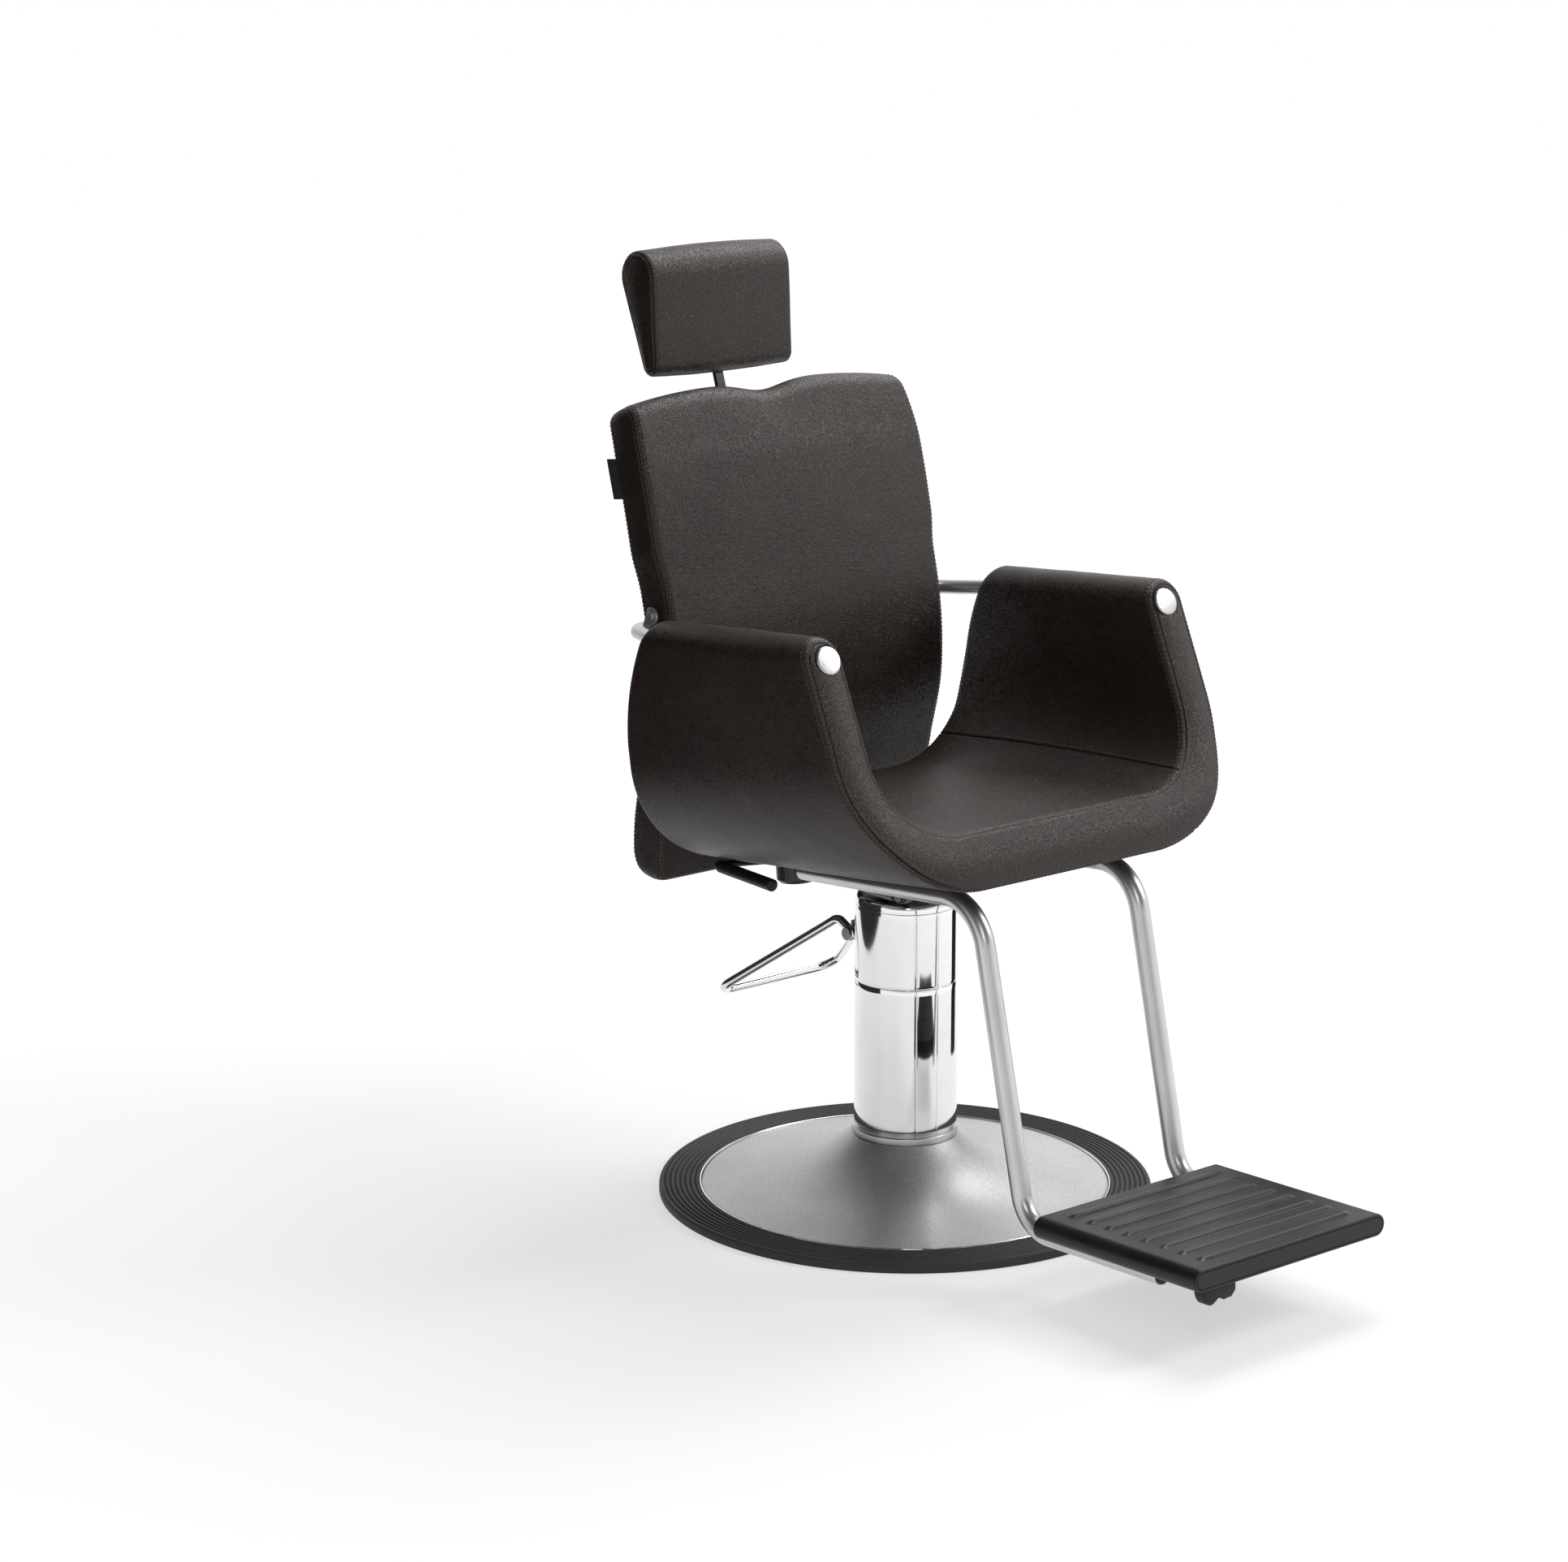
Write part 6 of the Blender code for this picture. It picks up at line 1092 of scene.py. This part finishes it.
def back_form():
    """Closed skin of the back in the chair's frame.  Each section stands square to the side
    view's curve, a Catmull-Rom line; it is a slab with round edges, r sin and r cos of the edge
    angle, crowned on its front by c (1 - (x / half)^2), drawn in at both ends by round_off, and
    lifted at the top by the arch less a hollow at the bar."""
    line = spline(BACK_LINE, 900)
    run = np.concatenate([[0], np.cumsum(np.hypot(*np.diff(line, axis=0).T))])
    slope = unit(np.gradient(line, axis=0))
    total = run[-1]
    foot = np.unique(np.concatenate([0.0004 + BACK_TAIL_R * (1 - np.cos(np.linspace(0, 1.45, 16))),
                                     [0.002, 0.0035, 0.0055]]))
    head = 0.0003 + BACK_TOP_R * (1 - np.cos(np.linspace(0, 1.45, 16)))
    places = np.concatenate([foot, np.linspace(foot[-1], total - head[-1], 104)[1:-1],
                             total - head[::-1]])
    kind, place = back_columns()
    kind, place = (np.concatenate([k, k[::-1][1:-1]])[None, :] for k in (kind, place))
    hand = np.ones(kind.shape[1])
    hand[(kind.shape[1] + 2) // 2:] = -1
    point = [np.interp(places, run, line[:, k])[:, None] for k in (0, 1)]
    tangent = [np.interp(places, run, slope[:, k])[:, None] for k in (0, 1)]
    up, down = places[:, None], (total - places)[:, None]
    above = np.clip((point[0] - 0.035) / 0.050, 0, 1)
    spread = BACK_SPREAD * above ** 2 * (3 - 2 * above)
    front = round_off(down, BACK_TOP_R) + round_off(up, 0.006)
    rear = round_off(down, 0.5 * BACK_TOP_R) + round_off(up, BACK_TAIL_R)
    narrow = BACK_TOP_NARROW * np.clip(1 - down / 0.10, 0, None) ** 2
    half = (BACK_HALF + spread - narrow - 0.5 * round_off(down, 0.014)
            - 0.6 * round_off(up, 0.014))
    thick = BACK_T - front - rear
    r = np.minimum(BACK_EDGE_R, 0.4 * thick)
    e = np.radians(place)
    edge = (kind == 1) | (kind == 3)
    ends = np.clip(np.minimum(up, down) / 0.010, 0.25, 1)
    dent = sum(valley(r * (e - np.radians(k)), 0.0009) for k in BACK_STITCH_DEG)
    rho = r - ends * (SEAM_DEPTH * valley(r * (e - np.radians(BACK_SEAM_DEG)))
                      + STITCH_DENT * dent)
    x = np.where(edge, half - r + rho * np.sin(e),
                 np.where(kind == 2, half, (half - r) * place))
    q = np.where(kind == 1, r - rho * np.cos(e),
                 np.where(kind == 3, thick - r + rho * np.cos(e),
                          np.where(kind == 2, r + (thick - 2 * r) * place,
                                   np.where(kind == 4, thick, 0.0))))
    x = x * hand
    crown = BACK_CROWN * np.minimum(1, np.minimum(down / 0.08, up / 0.05))
    facing = np.where(kind == 0, 1.0, np.where(kind == 1, np.cos(e), 0.0))
    swell = crown * (1 - (x / half) ** 2) * facing
    gap = np.clip(half - np.abs(x), 0, None)
    slack = (BACK_SLACK * noise_wave(x, up + 0 * x, 11) + BACK_PUCKER
             * noise_wave(2.3 * x, 2.3 * up, 12) * np.exp(-gap / 0.02))
    behind = np.where(kind == 4, 1.0, 0.0)
    depth = front + q - swell + slack * (facing - behind) * np.clip(np.minimum(up, down) / 0.03,
                                                                    0, 1)
    x = x + hand * BACK_SIDE_SWELL * np.sin(PI * place) * (kind == 2)
    arch = (BACK_ARCH * (1 - np.abs(x / half) ** 3)
            - BACK_DIP * np.exp(-(x / (0.22 * half)) ** 2))
    near_top = np.clip(1 - down / 0.06, 0, None)
    ny, nz = tangent[0], -tangent[1]
    lift = near_top * arch

    def at(x, depth, lift):
        return np.stack(np.broadcast_arrays(x, PIVOT_Y + point[1] + ny * depth,
                                            PIVOT_Z + point[0] + nz * depth + lift), -1)
    grid = at(x, depth, lift)
    core = at(np.clip(x, 0.5 * thick - half, half - 0.5 * thick), front + thick / 2, lift)
    way = np.stack([np.zeros_like(tangent[0]), tangent[1], tangent[0]], -1)[:, 0]
    rows = [grid]
    for end, sign in ((0, -1), (-1, 1)):
        f = np.array([0.35, 0.7, 1.0])[:, None, None]
        cap = (grid[end] + (core[end] - grid[end]) * f
               + sign * way[end] * 0.0012 * (1 - (1 - f) ** 2))
        rows = [cap[::-1], *rows] if sign < 0 else [*rows, cap]
    return np.concatenate(rows), kind[0], place[0], hand


back_grid, back_kind, back_place, back_hand = back_form()
back = surface("back_leather", back_grid, smooth=70)
dressed(back, leather, "back", "leather", "back_pad")

back_normals = outward_normals(back_grid)
back_runs = []
sewn = slice(5, len(back_grid) - 4)
for kind, angle in ((1, BACK_STITCH_DEG[0]), (1, BACK_STITCH_DEG[1]), (3, BACK_STITCH_DEG[0])):
    for hand in (-1, 1):
        k = np.flatnonzero((back_kind == kind) & (back_place == angle) & (back_hand == hand))[0]
        back_runs.append((back_grid[sewn, k], back_normals[sewn, k], False))
thread_piece("back_stitches", back_runs, thread, "back")


def back_tab():
    """Folded ribbon sewn into the rear side seam, left blank: a thin strip that leans with the
    seam and curls by 1 mm (t^2) towards its free edge."""
    k = np.flatnonzero((back_kind == 3) & (back_place == BACK_SEAM_DEG) & (back_hand == -1))[0]
    seam = back_grid[:, k]
    order = np.argsort(seam[:, 2])
    z = np.linspace(TAB_LOW_Z, TAB_HIGH_Z, 24)
    foot = np.stack([np.interp(z, seam[order, 2], seam[order, j]) for j in range(3)], -1)
    t = np.linspace(0, 1, 9)[:, None, None]
    out, curl = np.array([-0.05, 0.99, -0.13]), np.array([-0.0010, 0.0, 0.0])
    sheet = foot[None] + (TAB_REACH * t - TAB_SUNK) * out + t ** 2 * curl
    side = np.array([TAB_T / 2, 0.0, 0.0])
    grid = np.swapaxes(np.concatenate([sheet - side, (sheet + side)[::-1]]), 0, 1)
    caps = [(grid[k:k + 1] + grid[k:k + 1, ::-1]) / 2 for k in (0, len(z) - 1)]
    return surface("back_tab_blank", np.concatenate([caps[0], grid, caps[1]]), smooth=40)


dressed(back_tab(), ribbon, "back", "black_plastic")


# ---------------------------------------------------------------- headrest
HEAD_SEAM_DEG, HEAD_STITCH_DEG = 48.0, 22.0
HEAD_EDGE_R, HEAD_SEAM_DEPTH, HEAD_DENT = 0.0085, 0.0013, 0.0003
HEAD_SWELL, HEAD_SIDE_SWELL, HEAD_SLACK, HEAD_FOLD = 0.003, 0.0020, 0.0004, 0.0014


def head_form():
    """Closed skin of the headrest.  Side view: two circles and their common tangents; each
    section is that outline grown by g, which falls off round the side edges as R (cos - 1) and
    swells by 3 mm (1 - (x / half)^2) in between; side panels bulge by 2 mm."""
    length = np.hypot(HEAD_PAD_SET, HEAD_PAD_RISE)
    lean = np.arctan2(HEAD_PAD_SET, HEAD_PAD_RISE)
    open_angle = np.arccos((HEAD_PAD_FOOT_R - HEAD_PAD_TOP_R) / length)
    top = np.linspace(-open_angle, open_angle, 64)
    low = np.linspace(open_angle, 2 * PI - open_angle, 42)
    t = np.linspace(0, 1, 26)[1:-1]
    angle = np.concatenate([top, np.full(24, open_angle), low,
                            np.full(24, 2 * PI - open_angle)])
    share = np.concatenate([np.zeros(64), t, np.ones(42), 1 - t])
    edge = np.array([90, 82, 74, 66, 60, 55, 52, 50, 48, 46, 44, 41, 36, 30, 26, 22, 18, 12, 6,
                     0.0])
    half = HEAD_PAD_W / 2
    e = np.radians(edge)
    rho = HEAD_EDGE_R - HEAD_SEAM_DEPTH * valley(HEAD_EDGE_R * (e - np.radians(HEAD_SEAM_DEG)))
    rho = rho - HEAD_DENT * valley(HEAD_EDGE_R * (e - np.radians(HEAD_STITCH_DEG)), 0.0009)
    x_edge = half - HEAD_EDGE_R + rho * np.sin(e)
    g_edge = -(HEAD_EDGE_R - rho * np.cos(e)) * 0.85
    x_mid = np.linspace(half - HEAD_EDGE_R, 0, 36)[1:]
    x_half = np.concatenate([x_edge, x_mid])
    g_half = np.concatenate([g_edge, np.zeros(35)]) + HEAD_SWELL * (1 - (x_half / half) ** 2)
    x = np.concatenate([x_half, -x_half[::-1][1:]])[:, None]
    grow = np.concatenate([g_half, g_half[::-1][1:]])[:, None]
    fold = valley((angle - PI - 0.35) * HEAD_PAD_FOOT_R, 0.0010)[None, :] * (share == 1)
    slack = HEAD_SLACK * noise_wave(x, 0.03 * angle[None, :] + 0.1 * share[None, :], 21)
    grow = grow - HEAD_FOLD * fold * (np.abs(x) < half - 0.006) + slack
    radius = HEAD_PAD_TOP_R + (HEAD_PAD_FOOT_R - HEAD_PAD_TOP_R) * share[None, :] + grow
    centre = length * (1 - share)[None, :]

    def at(x, reach, size):
        along = reach + size * np.cos(angle)[None, :]
        out = size * np.sin(angle)[None, :]
        return np.stack(np.broadcast_arrays(
            x, HEAD_PAD_Y + along * np.sin(lean) + out * np.cos(lean),
            HEAD_PAD_Z + along * np.cos(lean) - out * np.sin(lean)), -1)
    grid = at(x, centre, radius)
    f = np.array([1.0, 0.8, 0.6, 0.4, 0.2, 0.08])[:, None]
    dome = HEAD_SIDE_SWELL * (1 - (1 - f) ** 2)
    right = at(-half - dome, centre, radius[-1:] * (1 - f))
    left = at(half + dome, centre, radius[:1] * (1 - f))
    return np.concatenate([left, grid, right[::-1]]), edge


head_grid, head_edge = head_form()
head = surface("headrest_leather", head_grid, smooth=70)
dressed(head, leather, "headrest", "leather", "headrest_pad")
head_normals = outward_normals(head_grid)
k = 6 + int(np.argmin(np.abs(head_edge - HEAD_STITCH_DEG)))
head_runs = [(head_grid[j], head_normals[j], True) for j in (k, -1 - k)]
thread_piece("headrest_stitches", head_runs, thread, "headrest")


# ---------------------------------------------------------------- camera, floor and light
CAMERA_AT = Vector((-3.1453, -3.5537, 1.6760))
CAMERA_AHEAD = Vector((0.62072, 0.74686, -0.23855)).normalized()
CAMERA_RIGHT = CAMERA_AHEAD.cross(Vector((0, 0, 1))).normalized()


def add_camera():
    """The photograph's view: 94 mm on a 36 mm frame, level across."""
    lens = bpy.data.cameras.new("camera")
    lens.sensor_fit, lens.sensor_width, lens.lens = "HORIZONTAL", 36.0, 94.0
    lens.clip_end = 60.0
    camera = bpy.data.objects.new("camera", lens)
    up = CAMERA_RIGHT.cross(CAMERA_AHEAD)
    turn = Matrix((CAMERA_RIGHT, up, -CAMERA_AHEAD)).transposed().to_4x4()
    camera.matrix_world = Matrix.Translation(CAMERA_AT) @ turn
    bpy.context.scene.collection.objects.link(camera)
    bpy.context.scene.camera = camera


def lamp(name, at, aim, width, height, power):
    """Soft box: a rectangle of light that faces its aim."""
    light = bpy.data.lights.new(name, "AREA")
    light.shape, light.size, light.size_y, light.energy = "RECTANGLE", width, height, power
    holder = bpy.data.objects.new(name, light)
    turn = (Vector(aim) - Vector(at)).to_track_quat("-Z", "Y").to_matrix().to_4x4()
    holder.matrix_world = Matrix.Translation(at) @ turn
    bpy.context.scene.collection.objects.link(holder)


def quad(name, corners, material):
    """Flat piece of the studio between four corners."""
    mesh = bpy.data.meshes.new(name)
    mesh.from_pydata([tuple(c) for c in corners], [], [(0, 1, 2, 3)])
    piece = bpy.data.objects.new(name, mesh)
    piece.data.materials.append(material)
    bpy.context.scene.collection.objects.link(piece)
    return piece


def floor_material():
    """Matt white studio floor.  Its own colour holds the shadow; a glow that only the camera
    and reflections see, and that grows with the distance, lifts it to the backdrop's white."""
    made = bpy.data.materials.new("studio_floor")
    made.use_nodes = True
    tree = made.node_tree
    tree.nodes.clear()
    rays = node(tree, "ShaderNodeLightPath").outputs
    seen = rays["Is Camera Ray"]
    for kind in ("Is Glossy Ray", "Is Transmission Ray"):
        seen = node(tree, "ShaderNodeMath", enumerate((seen, rays[kind])), operation="MAXIMUM")
    place = node(tree, "ShaderNodeTexCoord").outputs["Object"]
    away = node(tree, "ShaderNodeVectorMath", [(0, place)], operation="LENGTH").outputs["Value"]
    level = node(tree, "ShaderNodeMapRange", enumerate((away, 0.7, 3.0, 0.56, 0.92)))
    glow = node(tree, "ShaderNodeMath", enumerate((seen, level)), operation="MULTIPLY")
    matt = node(tree, "ShaderNodeBsdfDiffuse", [("Color", colour("#C0C0C0"))])
    light = node(tree, "ShaderNodeEmission", [("Strength", glow)])
    both = node(tree, "ShaderNodeAddShader", enumerate((matt, light)))
    node(tree, "ShaderNodeOutputMaterial", [("Surface", both)])
    return made


def white_world():
    """White backdrop at strength 1 for the camera and reflections, and plain light for the rest.
    Reflections also see the studio's dark ceiling, which comes down on the camera's side: z -
    0.26 x - 0.31 y of the direction goes from white at 0.38 to dark at 0.62."""
    world = bpy.data.worlds.new("studio")
    bpy.context.scene.world = world
    world.use_nodes = True
    tree = world.node_tree
    tree.nodes.clear()
    rays = node(tree, "ShaderNodeLightPath").outputs
    way = node(tree, "ShaderNodeSeparateXYZ",
               [(0, node(tree, "ShaderNodeTexCoord").outputs["Generated"])]).outputs
    height = way["Z"]
    for axis, share in (("X", -0.26), ("Y", -0.31)):
        height = node(tree, "ShaderNodeMath", enumerate((way[axis], share, height)),
                      operation="MULTIPLY_ADD")
    ceiling = node(tree, "ShaderNodeMapRange",
                   enumerate((height, 0.38, 0.62, 1.0 - WORLD_LIGHT, CEILING - WORLD_LIGHT)))
    seen = node(tree, "ShaderNodeMath",
                enumerate((rays["Is Camera Ray"], rays["Is Transmission Ray"])),
                operation="MAXIMUM")
    level = node(tree, "ShaderNodeMath", enumerate((seen, 1.0 - WORLD_LIGHT, WORLD_LIGHT)),
                 operation="MULTIPLY_ADD")
    level = node(tree, "ShaderNodeMath", enumerate((rays["Is Glossy Ray"], ceiling, level)),
                 operation="MULTIPLY_ADD")
    back = node(tree, "ShaderNodeBackground", [("Color", (1, 1, 1, 1)), ("Strength", level)])
    node(tree, "ShaderNodeOutputWorld", [("Surface", back)])


def standing_card(name, turn_from, turn_to, radius, height):
    """Dark card that stands on the floor beside the chair, between two turns about Z in
    degrees; only reflections see it, and it draws the dark bands down chrome and tubes."""
    low = [(radius * np.cos(k), radius * np.sin(k)) for k in np.radians((turn_from, turn_to))]
    card = quad(name, [(*low[0], 0.0), (*low[1], 0.0), (*low[1], height), (*low[0], height)],
                card_paper)
    card.visible_camera = card.visible_diffuse = card.visible_shadow = False
    card.visible_transmission = False


WORLD_LIGHT, CEILING = 0.28, 0.10
add_camera()
white_world()
quad("floor", [(-9, -9, -0.0004), (9, -9, -0.0004), (9, 9, -0.0004), (-9, 9, -0.0004)],
     floor_material())
lamp("key_right", (2.3, -2.0, 2.6), (0.0, -0.1, 0.5), 1.1, 1.1, 44.0)
lamp("overhead", (1.2, 0.4, 2.9), (0.0, 0.0, 0.5), 1.0, 2.2, 50.0)
lamp("fill_left", (-2.2, -2.9, 2.1), (0.0, -0.1, 0.6), 0.7, 1.4, 13.0)
card_paper = new_material("black_card", "#2A2A2A", 0.9)[0]
standing_card("card_left", 98.0, 172.0, 1.40, 1.70)
standing_card("card_right", 344.0, 364.0, 0.60, 0.60)

bpy.context.scene.view_settings.view_transform = "Standard"
